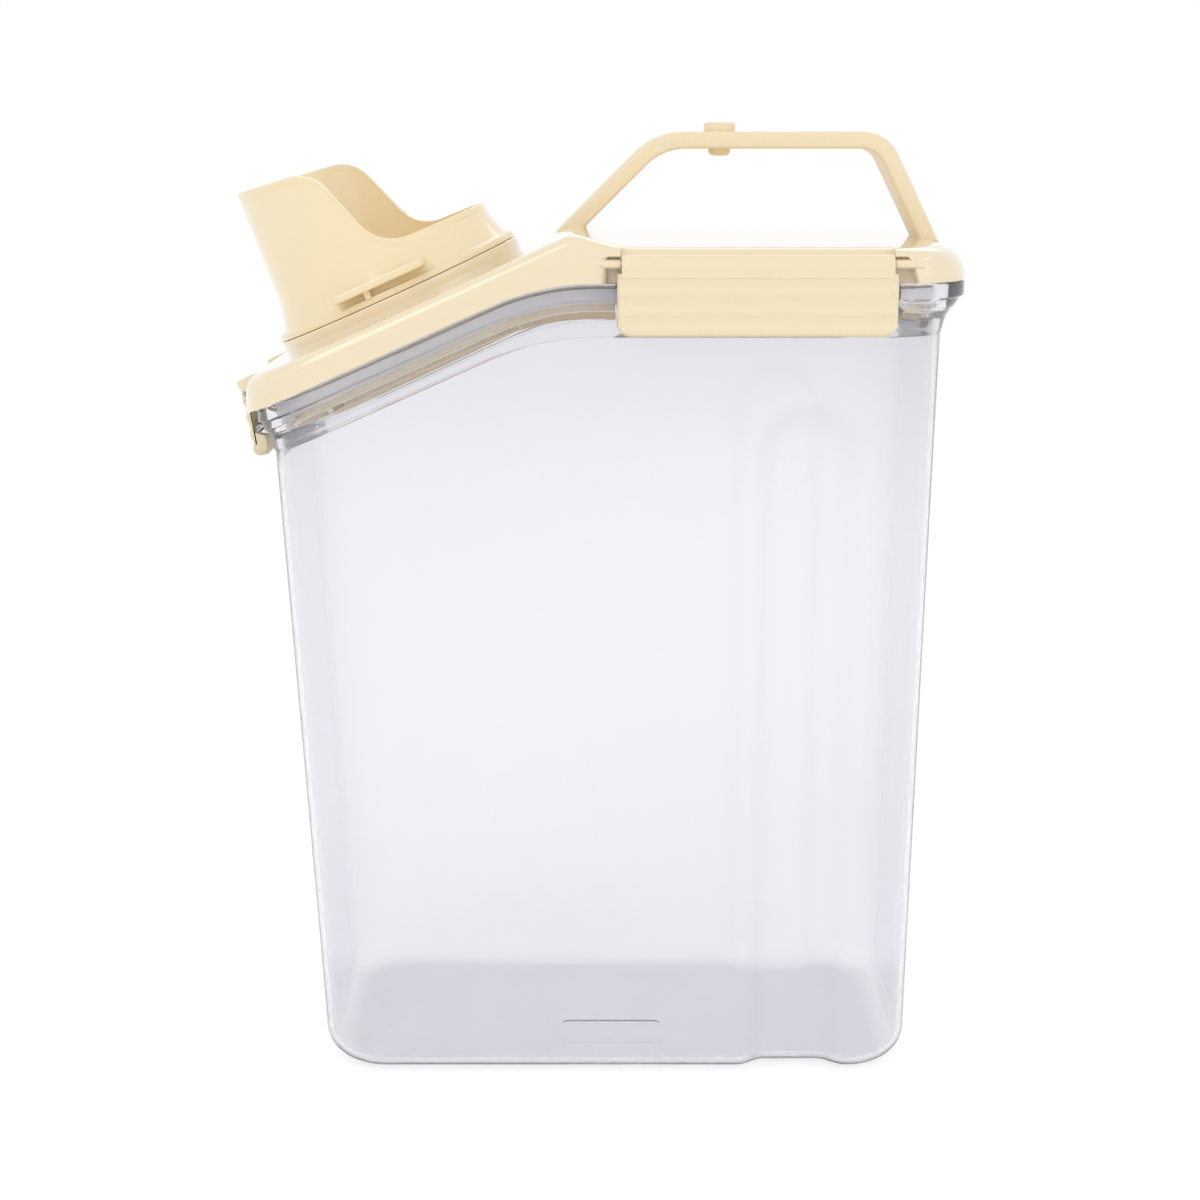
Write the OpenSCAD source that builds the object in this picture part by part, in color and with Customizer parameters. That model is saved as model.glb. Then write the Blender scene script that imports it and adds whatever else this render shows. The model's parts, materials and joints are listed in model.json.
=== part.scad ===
// Dry food container: clear tapered tub, clipped lid with a sloping pour end, and a
// measuring cup that plugs the pour neck. Front is -X (the pour end), sides are -Y and +Y.
// The origin is the middle of the base on the surface it stands on.

/* [Tub] */
// Distance from the origin to the front wall at the floor
front_reach = 113.3; // [100:0.1:125]
// Distance from the origin to the back wall at the floor
back_reach = 113.6; // [100:0.1:125]
// How far the tub's side walls at the floor stand in from the lid's sides
side_inset = 17.5; // [15:0.1:20]
// Lean of the front wall
front_draft = 2.8; // [1.5:0.1:3.5]
// Lean of the back wall
back_draft = 0.7; // [0.4:0.1:1.5]
// Lean of the two side walls
side_draft = 1.85; // [1.4:0.05:2.2]
// Wall thickness
wall = 2.2; // [1.6:0.1:2.6]
// Floor thickness
floor_t = 2.6; // [2:0.1:4]
// Radius of the upright corners
corner_r = 24; // [18:0.5:28]
// Radius between the walls and the base
base_r = 12; // [8:0.5:15]

/* [Grip grooves] */
// Place of the grooves along the length
groove_x = 68.3; // [50:0.1:75]
// Radius of the arch at the wall's surface
groove_r = 19.8; // [15:0.1:22]
// Radius of the arch at the groove's floor
groove_floor_r = 10.5; // [7:0.1:12]
// Depth of the groove
groove_depth = 5.5; // [3:0.1:6.5]
// Height of the arch's centre
groove_z = 243; // [200:1:250]

/* [Parting line] */
// Height of the flat part of the parting line
flat_rim_z = 304.5; // [290:0.5:320]
// Slope of the pour end
slope_angle = 24.1; // [18:0.1:26]
// Where the slope would meet the flat part
knee_x = -26.8; // [-32:0.1:-20]
// Radius that blends the slope into the flat part
rim_blend_r = 90; // [60:1:110]
// How far the tub's wall stands up inside the lid
rim_rise = 4.5; // [3:0.1:5.5]
// Gap between the collar and the lid's skirt
parting_gap = 0.3; // [0.2:0.05:0.6]

/* [Collar and catches] */
// Reach of the collar at the front
collar_front = 130.4; // [129:0.1:131.5]
// Depths of the three steps below the parting line
collar_steps = [5.8, 9, 12];
// How far each step is set in from the one above
collar_insets = [0, 2.6, 4.6];
// Thickness of a catch ledge at its tip
ledge_t = 2.5; // [2:0.1:3]
// How far below the hinge the ledge's tip starts
ledge_drop = 12.9; // [12:0.1:14]
// Gap between a hook and its ledge
hook_gap = 0.35; // [0.3:0.05:0.6]

/* [Lid] */
// Reach of the lid at the front
lid_front = 134.5; // [133:0.1:136]
// Reach of the lid at the back
lid_back = 124.7; // [123.5:0.1:127]
// Half of the lid's depth
lid_half_depth = 75; // [74.6:0.1:76]
// Radius of the lid's upright corners
lid_corner_r = 30; // [24:0.5:34]
// Height of the lid above the parting line
lid_height = 12.7; // [12:0.1:14]
// Thickness of the lid's skirt
lid_wall = 2.2; // [1.8:0.1:2.6]
// Thickness of the lid's top
lid_top_t = 2.4; // [2:0.1:3]
// Radius of the shoulder at the back
shoulder_r = 11; // [8:0.5:12]
// Radius along the lid's long top edges
edge_r = 4; // [2:0.5:5]
// Where the ridge between slope and flat stands
crest_x = -15.5; // [-18:0.1:-12]
// Length of the fall from the ridge to the flat
crest_fall = 19; // [16:0.5:22]
// How far the sealing wall reaches below the parting line
plug_depth = 8; // [6:0.5:9]
// Thickness of the sealing wall
plug_wall = 1.8; // [1.5:0.1:2.4]

/* [Neck] */
// Room along the length between the lid's front and the neck's collar
neck_margin = 4.2; // [2:0.1:7]
// How far the neck's collar stands out round the cup's flange
neck_rim = 1.8; // [1.5:0.1:3]
// Room between the cup's plug and the wall of the pour opening
mouth_room = 1.8; // [1.2:0.1:2.4]
// Height of the neck's collar above the slope
neck_h = 4.9; // [4:0.1:6]
// Depth of the neck's tube below the slope
neck_depth = 8; // [6:0.5:9]
// Wall of the neck's tube below the slope
neck_wall = 2.2; // [1.8:0.1:2.8]

/* [Cup] */
// Radius of the plug below the flange
plug_r = 41.6; // [40.8:0.1:42.2]
// How far the cup's flange stands out round the plug
flange_out = 6; // [4:0.1:7]
// Thickness of the cup's flange
flange_t = 2.5; // [2:0.1:3.5]
// Gap between the flange and the neck
seat_gap = 0.2; // [0.1:0.05:0.5]
// How far the foot of the cup's wall stands in from the flange
foot_in = 1.6; // [1.2:0.1:2.6]
// How far the wall stands out round the plug where it becomes straight
waist_out = 0.7; // [0.2:0.1:1.4]
// How far the wall's tip stands in from where it becomes straight
tip_in = 2.6; // [0.3:0.1:3.3]
// Height of the straight part's start above the seat
cup_waist_z = 22; // [18:0.5:26]
// Height of the tip above the seat
cup_tip_z = 56.6; // [50:0.1:62]
// How far the scooped rim is turned round the cup's axis
scoop_turn = -5; // [-8:0.5:8]
// Height of the low rim above the seat
cup_rim_z = 15.2; // [13:0.1:18]
// Height of the bend at the foot of the scoop above the low rim
scoop_lift = 1.9; // [1:0.1:3]
// Drop of the rim from the tip to the bend at the top of the scoop
scoop_drop = 4.9; // [3:0.1:7]
// Rise of the rim's top line from the tip to its end outside the cup
scoop_rise = 2.6; // [0:0.1:4]
// Distance of the bend at the top of the scoop from the cup's axis, towards the tip
scoop_top_x = 3; // [0:0.1:8]
// Distance of the bend at the foot of the scoop from the cup's axis, away from the tip
scoop_low_x = 9.3; // [6:0.1:14]
// Radius of the bend at the top of the scoop
scoop_top_r = 14; // [8:0.5:16]
// Radius of the bend at the foot of the scoop
scoop_low_r = 16; // [8:0.5:18]
// Thickness of the cup's wall
cup_wall = 1.8; // [1.5:0.1:2.4]
// Depth of the plug below the seat
plug_h = 12; // [10:0.5:13]
// Length of a finger tab
tab_w = 36; // [26:1:44]
// Thickness of a finger tab
tab_t = 3; // [2:0.1:3.5]
// Height of a finger tab's underside above the seat
tab_z = 5.1; // [4.6:0.1:7]
// How far a finger tab stands out from the flange
tab_out = 4.4; // [2:0.1:6]
// Thickness of the rib under a finger tab
rib_t = 2.2; // [1.5:0.1:3]
// Place of the rib along a finger tab
rib_x = -5.4; // [-8:0.1:8]

/* [Seals] */
// Thickness of the lid's gasket
gasket_t = 2.2; // [1.6:0.1:2.6]
// Width of the lid's gasket
gasket_w = 4; // [3:0.1:5]
// Gap between the gasket and the sealing wall that carries it
gasket_play = 0.05; // [0.03:0.01:0.1]
// Gap between a seal and the wall that it faces
seal_gap = 0.3; // [0.25:0.05:0.5]
// Depth of the seal's groove in the cup's plug
seal_groove = 0.6; // [0.4:0.1:0.8]
// Width of the cup's seal
seal_w = 3; // [2:0.1:4]

/* [Latches] */
// Distance from the lid's back to the side latches
latch_back_in = 27.35; // [24:0.05:32]
// Width of the side latches
side_latch_w = 97.5; // [80:0.5:100]
// Width of the front latch
front_latch_w = 60; // [48:0.5:66]
// How far the side hinges stand in from the lid's sides
hinge_in = 1.6; // [1.2:0.1:2]
// Height of the side hinges above the parting line
hinge_rise = 7; // [6:0.1:7.5]
// Distance of the front hinge from the origin
front_hinge_x = 136.2; // [136:0.1:137]
// How far the front hinge lies below the flat part of the parting line
front_hinge_fall = 42.5; // [41.5:0.1:43.5]
// Lean of the front latch
front_lean = 10; // [7:0.5:12]
// Length of a latch below its hinge
latch_len = 25; // [24:0.5:28]
// Thickness of a latch's plate
latch_t = 2.4; // [2:0.1:2.8]
// Distance from the hinge to the latch's face
latch_face = 3.6; // [3.4:0.1:4]
// Radius of the latch's barrel
barrel_r = 3.3; // [3:0.1:3.4]
// Radius of the latch's lower corners
latch_corner_r = 5; // [3:0.5:7]
// How far the hook reaches in from the hinge line
hook_reach = 2.6; // [2:0.1:3]
// Radius of a hinge pin
pin_r = 1; // [0.8:0.05:1.2]
// Radial clearance of a pin
pin_gap = 0.05; // [0.03:0.01:0.1]
// Gap between a latch and the side of its pocket
pocket_gap = 3.1; // [2:0.1:4]
// How far the back end of a side pocket is cut away at the top of the lid
pocket_end_top = 0.4; // [0.1:0.1:2]
// How far the back end of a side pocket is cut away at the parting line
pocket_end_low = 4.3; // [2:0.1:6]
// Depth of that cut behind the hinge line
pocket_end_depth = 2; // [1:0.1:3]
// Radius that a turning latch needs round its hinge
swing_r = 4.1; // [4:0.1:4.4]

/* [Handle] */
// Height of the grip's top above the flat part of the lid
grip_rise = 38.8; // [30:0.1:50]
// Front corner of the handle, before it is rounded
grip_front_x = 14.9; // [8:0.1:20]
// Back corner of the handle, before it is rounded
grip_back_x = 100.4; // [96:0.1:103]
// Angle of the front leg above the level
front_leg_angle = 44.5; // [40:0.5:50]
// Angle of the back leg above the level
back_leg_angle = 63.3; // [60:0.1:66]
// Thickness of the handle's strap
strap_t = 6.2; // [4:0.1:7]
// Depth of the handle's strap
strap_depth = 26; // [20:0.5:32]
// Outer radius of the front bend
front_bend_r = 27; // [18:0.5:32]
// Outer radius of the back bend
back_bend_r = 15; // [12:0.5:18]
// Thickness of a foot's tongue
tongue_t = 3; // [2:0.1:3.5]
// Depth of a foot's tongue
tongue_depth = 16; // [10:0.5:20]
// Gap round a foot's tongue
tongue_gap = 0.15; // [0.1:0.05:0.3]

/* [Stud] */
// Place of the stud along the length
stud_x = 38.8; // [30:0.1:60]
// Radius of the stud's head
stud_head_r = 5.9; // [5:0.1:7]
// Height of the stud's head
stud_head_h = 3.4; // [2:0.1:4]
// Radius of the stud's shank
stud_shank_r = 3; // [2:0.1:3.5]
// Radius of the stud's lower button
stud_button_r = 4.15; // [3.6:0.05:5]
// Height of the stud's lower button
stud_button_h = 2.7; // [2:0.1:4]

/* [Hidden] */
$fn = 96;
overlap = 1;
deep = 60;
high = 400;
wide = 400;
facet_fn = 64;
arc_steps = 10;
slab_t = 0.01;
crest_r = 7;
crest_foot_r = 24;
tan_slope = tan(slope_angle);
top_z = flat_rim_z + lid_height;
grip_z = top_z + grip_rise;
half_depth = lid_half_depth - side_inset;
hinge_y = lid_half_depth - hinge_in;
latch_x = lid_back - latch_back_in - side_latch_w / 2;
mouth_r = plug_r + mouth_room;
flange_r = plug_r + flange_out;
neck_r = flange_r + neck_rim;
neck_x = neck_r + neck_margin - lid_front;
cup_foot_r = flange_r - foot_in;
cup_waist_r = plug_r + waist_out;
cup_tip_r = cup_waist_r - tip_in;
tab_reach = flange_r + tab_out;
crest_z = top_z + (crest_x - knee_x) * tan_slope;
hinge_z = flat_rim_z + hinge_rise;
front_hinge_z = flat_rim_z - front_hinge_fall;
ledge_cam = 0.4;
ledge_cam_depth = 3.2;
ledge_tip = 0.5;
root_depth = 7.6;
groove_flank = (groove_r - groove_floor_r) / groove_depth;
bore_r = pin_r + pin_gap;
side_pin_half = side_latch_w / 2 + 6.8;
front_pin_half = front_latch_w / 2 + 8;
pin_boss = 2;
ear_r = 1.55;
bracket_r = 2.2;
bracket_end = 1;
ear_gap = 0.4;
shoulder_step = 1.7;
visor_reach = 139.3;
visor_t = 2.2;
groove_face_r = 5.3;
groove_face_depth = 0.5;
front_tongue_in = 3.7;
back_tongue_in = 4.3;
tongue_len = 9;
tongue_hold = 6.6;
barb = 0.7;
barb_h = 1.4;
stud_gap = 0.05;
seal_low = 8;
plug_edge = 1;
flange_edge = 0.6;
cup_floor_t = 2;
cup_steps = 6;
latch_groove_top = 6.7;
latch_groove_pitch = 6.5;
latch_edge_r = 2;
hook_edge_r = 2.4;
gasket_drop = 2;
body_clear = [0.84, 0.83, 0.88, 0.5];
cream = [0.95, 0.88, 0.7];
silicone = [0.9, 0.9, 0.9];
steel = [0.7, 0.7, 0.72];

// Height of the parting line's straight stretches at a place along the length
function rim_z(x) = flat_rim_z + min(0, (x - knee_x) * tan_slope);

// A unit vector along v
function unit(v) = v / norm(v);

// An arc of radius r that rounds the corner p between its neighbours a and b
function bend(a, p, b, r) =
    let (u = unit(a - p), v = unit(b - p), half = acos(u * v) / 2)
    let (c = p + unit(u + v) * r / sin(half), t = r / tan(half))
    let (s = p + u * t - c, e = p + v * t - c)
    let (from = atan2(s[1], s[0]), to = atan2(e[1], e[0]))
    let (sweep = (to - from + 540) % 360 - 180)
    [for (i = [0 : arc_steps]) c + r * [cos(from + sweep * i / arc_steps),
                                        sin(from + sweep * i / arc_steps)]];

// A closed outline with its corners rounded, given as points [x, y, radius]
function rounded(corners) =
    let (n = len(corners))
    [for (i = [0 : n - 1])
        let (p = corners[i], a = corners[(i + n - 1) % n], b = corners[(i + 1) % n])
        each p[2] == 0 ? [[p[0], p[1]]]
            : bend([a[0], a[1]], [p[0], p[1]], [b[0], b[1]], p[2])];

// The parting line from front to back, raised by dz
function rim_path(dz) = concat(
    [[-wide / 2, rim_z(-wide / 2) + dz]],
    bend([-wide / 2, rim_z(-wide / 2) + dz], [knee_x, flat_rim_z + dz],
         [wide / 2, flat_rim_z + dz], rim_blend_r),
    [[wide / 2, flat_rim_z + dz]]);

// A list in the opposite order
function backwards(list) = [for (i = [len(list) - 1 : -1 : 0]) list[i]];

// Side outline of the lid, set in by t_top at the top and by t_end at the back
function lid_outline(t_top, t_end) =
    rounded([
        [-lid_front - overlap, rim_z(-lid_front - overlap) + lid_height - t_top, 0],
        [crest_x, crest_z - t_top, crest_r],
        [crest_x + crest_fall, top_z - t_top, crest_foot_r],
        [lid_back - t_end, top_z - t_top, shoulder_r - t_end],
        [lid_back - t_end, flat_rim_z - deep, 0],
        [-lid_front - overlap, flat_rim_z - 3 * deep, 0]]);

// Extrudes an outline drawn from the side across the whole depth
module across(depth) rotate([90, 0, 0]) linear_extrude(depth, center = true) children();

// A rectangle with round corners, from x0 to x1 and half_y either side
module plan(x0, x1, half_y, r) {
    translate([x0 + r, -half_y]) square([x1 - x0 - 2 * r, 2 * half_y]);
    translate([x0, -half_y + r]) square([x1 - x0, 2 * half_y - 2 * r]);
    for (x = [x0 + r, x1 - r])
        for (y = [-half_y + r, half_y - r])
            translate([x, y]) circle(r);
}

// One thin level of the tub at height z, set in by an amount
module tub_level(z, inset) {
    translate([0, 0, z]) linear_extrude(slab_t)
        plan(-front_reach - z * tan(front_draft) + inset,
             back_reach + z * tan(back_draft) - inset,
             half_depth + z * tan(side_draft) - inset,
             corner_r - inset, $fn = facet_fn);
}

// The tub's space, set in by an amount, above a height, with its lower edge rounded
module tub_space(inset, from_z, r) {
    hull() {
        for (turn = [0, 30, 60, 90])
            tub_level(from_z + r * (1 - cos(turn)), inset + r * (1 - sin(turn)));
        tub_level(flat_rim_z + 3 * rim_rise, inset);
    }
}

// The body of one grip groove at the near side, grown by the wall's thickness
module groove_body(grow) {
    shift = grow * sqrt(1 + groove_flank * groove_flank);
    outside = 2;
    translate([groove_x, -half_depth, 0]) rotate([side_draft, 0, 0])
        hull() {
            groove_level(-outside, groove_r + outside * groove_flank + shift);
            groove_level(groove_depth + grow, groove_floor_r - grow * groove_flank + shift);
        }
}

// One thin level of a groove, at a depth into the wall
module groove_level(depth, r) {
    translate([0, depth, 0]) rotate([90, 0, 0]) linear_extrude(slab_t) {
        translate([0, groove_z]) circle(r, $fn = facet_fn);
        translate([-r, -deep]) square([2 * r, groove_z + deep]);
    }
}

// Places a piece at both long sides
module both_sides() {
    children();
    mirror([0, 1, 0]) children();
}

// Latch frames: the origin is the hinge axis, -Y is outwards, +Z is up
module at_near() translate([latch_x, -hinge_y, hinge_z]) children();
module at_far() mirror([0, 1, 0]) at_near() children();
module at_front() translate([-front_hinge_x, 0, front_hinge_z]) rotate([0, 0, -90])
    rotate([front_lean, 0, 0]) children();

// The three steps of the collar under the lid's skirt
module collar() {
    difference() {
        for (i = [0 : len(collar_steps) - 1])
            intersection() {
                linear_extrude(high)
                    plan(-collar_front + collar_insets[i] / 2, lid_back - collar_insets[i],
                         lid_half_depth - collar_insets[i], lid_corner_r - collar_insets[i]);
                across(wide) polygon(concat(rim_path(i == 0 ? 0 : -collar_steps[i - 1] + overlap),
                                            backwards(rim_path(-collar_steps[i]))));
            }
        at_near() latch_room(side_latch_w);
        at_far() latch_room(side_latch_w);
        at_front() latch_room(front_latch_w);
    }
}

// The space that a latch's hook needs beside the collar
module latch_room(w) {
    half = w / 2 + pocket_gap;
    behind = 2;
    translate([-half, -deep, -deep]) cube([2 * half, deep + hook_reach + behind, 2 * deep]);
}

// One catch ledge, in its latch's frame, with a sloping underside near its tip
module ledge(w) {
    tip_low = -ledge_drop - ledge_t;
    root_low = tip_low - ledge_cam * ledge_cam_depth;
    rotate([90, 0, 90]) linear_extrude(w - 1, center = true)
        polygon([[-ledge_tip, -ledge_drop], [-ledge_tip, tip_low],
                 [-ledge_tip + ledge_cam_depth, root_low], [root_depth, root_low],
                 [root_depth, -ledge_drop]]);
}

// Clear tub with its rim, collar, catches and grip grooves
module tub() {
    color(body_clear) difference() {
        union() {
            intersection() {
                tub_space(0, 0, base_r);
                across(wide) polygon(concat(rim_path(rim_rise), [[wide / 2, -deep], [-wide / 2, -deep]]));
            }
            collar();
            at_near() ledge(side_latch_w);
            at_far() ledge(side_latch_w);
            at_front() ledge(front_latch_w);
        }
        difference() {
            tub_space(wall, floor_t, base_r - wall);
            both_sides() groove_body(wall);
        }
        both_sides() groove_body(0);
    }
}

// A ring of the lid's inner plan, from one inset to another, inside the tub's rim
module rim_ring(outer, inner) {
    linear_extrude(high) difference() {
        ring_plan(outer);
        ring_plan(inner);
    }
}

// The tub's inner plan where the sealing wall reaches deepest, set in by an amount
module ring_plan(inset) {
    low_z = rim_z(-front_reach) - plug_depth;
    plan(-front_reach - low_z * tan(front_draft) + wall + inset,
         back_reach + flat_rim_z * tan(back_draft) - wall - inset,
         half_depth + low_z * tan(side_draft) - wall - inset,
         corner_r - wall - inset);
}

// The lid as one block, before it is hollowed
module lid_block() {
    difference() {
        intersection() {
            linear_extrude(high) plan(-lid_front, lid_back, lid_half_depth, lid_corner_r);
            across(wide) polygon(lid_outline(0, 0));
            across(wide) polygon(concat(rim_path(parting_gap), [[wide / 2, high], [-wide / 2, high]]));
        }
        both_sides() long_edges(lid_half_depth);
        both_sides() intersection() {
            long_edges(hinge_y - swing_r);
            translate([latch_x, 0, 0]) cube([side_latch_w + 2 * pocket_gap, wide, 2 * high], center = true);
        }
    }
}

// What is cut away to round the lid's near top edge, at a distance from the middle
module long_edges(y) {
    translate([crest_x, -y, top_z]) rotate([90, 0, 90]) edge_strip(wide);
    translate([neck_x, 0, rim_z(neck_x) + lid_height]) rotate([0, -slope_angle, 0])
        translate([-wide, -y, 0]) rotate([90, 0, 90])
            edge_strip(wide + (crest_x - neck_x) / cos(slope_angle));
}

// A strip that rounds an edge running along its length
module edge_strip(length) {
    linear_extrude(length) difference() {
        translate([-edge_r, -edge_r]) square([2 * edge_r, 4 * edge_r]);
        translate([edge_r, -edge_r]) circle(edge_r);
    }
}

// The space under the lid's top, kept clear of the latch pockets
module lid_cavity() {
    difference() {
        intersection() {
            linear_extrude(high) plan(-lid_front + lid_wall, lid_back - lid_wall,
                                      lid_half_depth - lid_wall, lid_corner_r - lid_wall);
            across(wide) polygon(lid_outline(lid_top_t, lid_wall));
        }
        at_near() pocket_wall(side_latch_w, side_pin_half);
        at_far() pocket_wall(side_latch_w, side_pin_half);
        at_front() pocket_wall(front_latch_w, front_pin_half);
    }
}

// The wall left round a pocket, and the bosses that hold the pin's ends
module pocket_wall(w, pin_half) {
    skin = 1.4;
    half = w / 2 + pocket_gap + pocket_end_low + skin;
    boss = pin_half + pin_boss;
    boss_z = 3.6;
    translate([-half, -deep, -deep]) cube([2 * half, deep + swing_r + skin, 2 * deep]);
    translate([-boss, -deep, -boss_z]) cube([2 * boss, deep + boss_z, 2 * boss_z]);
}

// The slanted recess at the back end of a side pocket
module pocket_end() {
    half = side_latch_w / 2 + pocket_gap;
    rotate([90, 0, 0]) translate([0, 0, -pocket_end_depth]) linear_extrude(deep) polygon([
        [half - overlap, lid_height], [half + pocket_end_top, lid_height],
        [half + pocket_end_top, lid_height - hinge_rise],
        [half + pocket_end_low, -hinge_rise], [half + pocket_end_low, -deep], [half - overlap, -deep]]);
}

// The pocket that a latch hangs and turns in
module pocket(w) {
    half = w / 2 + pocket_gap;
    translate([-half, -deep, -deep]) cube([2 * half, deep + swing_r, 2 * deep]);
}

// The two round ears that stand into a pocket and carry its pin
module ears(w, out) {
    inner = w / 2 - shoulder_step + ear_gap;
    for (side = [-1, 1])
        translate([side * (inner + out) / 2, 0, 0]) rotate([0, 90, 0])
            cylinder(r = ear_r, h = out - inner, center = true);
}

// The brackets that carry the front hinge beyond the lid's end
module front_brackets() {
    half = front_pin_half + bracket_end;
    inner = front_latch_w / 2 + pocket_gap;
    for (side = [-1, 1]) {
        translate([0, side * (half + inner) / 2, 0]) across(half - inner) polygon([
            [-visor_reach, rim_z(-visor_reach) + lid_height],
            [-lid_front + overlap, rim_z(-lid_front + overlap) + lid_height],
            [-lid_front + overlap, front_hinge_z - bracket_r],
            [-front_hinge_x, front_hinge_z - bracket_r],
            [-front_hinge_x, front_hinge_z + bracket_r],
            [-lid_front - overlap / 2, front_hinge_z + bracket_r],
            [-lid_front - overlap / 2, rim_z(-lid_front) + lid_height - visor_t - overlap / 2],
            [-visor_reach, rim_z(-visor_reach) + lid_height - visor_t]]);
    }
    at_front() ears(front_latch_w, front_pin_half);
}

// Places a piece on the slope, with +Z along the neck's axis
module on_slope() translate([neck_x, 0, rim_z(neck_x) + lid_height]) rotate([0, -slope_angle, 0])
    children();

// The hole for a hinge pin
module pin_hole(half) rotate([0, 90, 0]) cylinder(r = bore_r, h = 2 * half, center = true);

// Centres of the two tongues under the handle's feet: [x, lowest z]
function tongues() = [
    [grip_front_x - (grip_z - crest_z) / tan(front_leg_angle) + front_tongue_in, crest_z - tongue_len],
    [grip_back_x + (grip_z - top_z) / tan(back_leg_angle) - back_tongue_in, top_z - tongue_hold]];

// Slots that the handle's tongues pass through
module tongue_slots() {
    for (t = tongues())
        translate([t[0], 0, top_z]) cube([tongue_t + 2 * tongue_gap, tongue_depth + 2 * tongue_gap, deep / 2],
                                         center = true);
}

// Lid with its neck, sealing wall, latch pockets and hinge ears
module lid() {
    color(cream) difference() {
        union() {
            difference() {
                union() {
                    difference() {
                        lid_block();
                        lid_cavity();
                    }
                    intersection() {
                        rim_ring(gasket_t + seal_gap, gasket_t + seal_gap + plug_wall);
                        across(wide) polygon(lid_outline(overlap, overlap));
                        across(wide) polygon(concat(rim_path(-plug_depth),
                                                    [[wide / 2, high], [-wide / 2, high]]));
                    }
                    on_slope() translate([0, 0, -lid_top_t]) cylinder(r = neck_r, h = neck_h + lid_top_t);
                    on_slope() translate([0, 0, -neck_depth])
                        cylinder(r = mouth_r + neck_wall, h = neck_depth + neck_h);
                }
                at_near() pocket(side_latch_w);
                at_far() pocket(side_latch_w);
                at_front() pocket(front_latch_w);
                at_near() pocket_end();
                at_far() pocket_end();
            }
            at_near() ears(side_latch_w, side_pin_half + pin_boss);
            at_far() ears(side_latch_w, side_pin_half + pin_boss);
            front_brackets();
        }
        on_slope() translate([0, 0, -deep]) cylinder(r = mouth_r, h = 2 * deep);
        at_near() pin_hole(side_pin_half + pin_gap);
        at_far() pin_hole(side_pin_half + pin_gap);
        at_front() pin_hole(front_pin_half + pin_gap);
        tongue_slots();
    }
}

// Silicone gasket round the lid's sealing wall
module lid_gasket() {
    color(silicone) intersection() {
        rim_ring(seal_gap, gasket_t + seal_gap - gasket_play);
        across(wide) polygon(concat(rim_path(-gasket_drop), backwards(rim_path(-gasket_drop - gasket_w))));
    }
}

// Places a piece on the neck's seat
module on_seat() on_slope() translate([0, 0, neck_h + seat_gap]) children();

// Outer radius of the cup's wall at a height above the seat
function cup_r(z) =
    let (rise = cup_waist_z - flange_t, step = cup_foot_r - cup_waist_r)
    let (sweep_r = (rise * rise + step * step) / (2 * step), drop = cup_waist_z - z)
    z < cup_waist_z ? cup_waist_r + sweep_r - sqrt(sweep_r * sweep_r - drop * drop)
        : cup_waist_r + (cup_tip_r - cup_waist_r) * (z - cup_waist_z) / (cup_tip_z - cup_waist_z);

// Levels at which the cup's wall is drawn
function cup_levels() = [for (i = [0 : cup_steps]) flange_t + (cup_waist_z - flange_t) * i / cup_steps];

// Half section of the cup, from its axis outwards
function cup_section() = concat(
    [[0, -plug_h], [plug_r - plug_edge, -plug_h], [plug_r, plug_edge - plug_h],
     [plug_r, -seal_low], [plug_r - seal_groove, -seal_low],
     [plug_r - seal_groove, seal_w - seal_low], [plug_r, seal_w - seal_low], [plug_r, 0],
     [flange_r - flange_edge, 0], [flange_r, flange_edge],
     [flange_r, flange_t - flange_edge], [flange_r - flange_edge, flange_t]],
    [for (z = cup_levels()) [cup_r(z), z]],
    [[cup_tip_r, cup_tip_z + overlap], [cup_tip_r - cup_wall, cup_tip_z + overlap]],
    [for (z = backwards(cup_levels())) if (z > flange_t + 1) [cup_r(z) - cup_wall, z]],
    [[plug_r - seal_groove - cup_wall, 0],
     [plug_r - seal_groove - cup_wall, cup_floor_t - plug_h], [0, cup_floor_t - plug_h]]);

// The scooped rim of the cup, seen from the side, and all that lies above it
function scoop_outline() = rounded([
    [-deep, cup_tip_z + scoop_rise, 0],
    [-scoop_top_x, cup_tip_z - scoop_drop, scoop_top_r],
    [scoop_low_x, cup_rim_z + scoop_lift, scoop_low_r],
    [deep, cup_rim_z + scoop_lift / 4, 0],
    [deep, 2 * deep, 0],
    [-deep, 2 * deep, 0]]);

// A finger tab on the near side of the cup, with its rib
module finger_tab() {
    corner = 3;
    difference() {
        union() {
            translate([0, 0, tab_z]) linear_extrude(tab_t) intersection() {
                translate([0, -tab_reach]) plan(-tab_w / 2, tab_w / 2, tab_reach / 2, corner);
                translate([-tab_w, -tab_reach]) square([2 * tab_w, tab_reach - corner]);
            }
            translate([rib_x - rib_t / 2, -tab_reach + corner, flange_t - 0.2])
                cube([rib_t, tab_reach - corner - cup_waist_r + 2, tab_z - flange_t + 0.4]);
        }
        cylinder(r = cup_waist_r - cup_wall / 2, h = deep);
    }
}

// Measuring cup that is also the cap of the pour neck
module cup() {
    color(cream) on_seat() difference() {
        union() {
            rotate_extrude() polygon(cup_section());
            both_sides() finger_tab();
        }
        rotate([0, 0, scoop_turn]) across(wide) polygon(scoop_outline());
    }
}

// Silicone ring in the groove of the cup's plug
module cup_seal() {
    color(silicone) on_seat() translate([0, 0, -seal_low]) rotate_extrude()
        translate([plug_r - seal_groove, 0]) square([mouth_r - seal_gap - plug_r + seal_groove, seal_w]);
}

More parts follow.
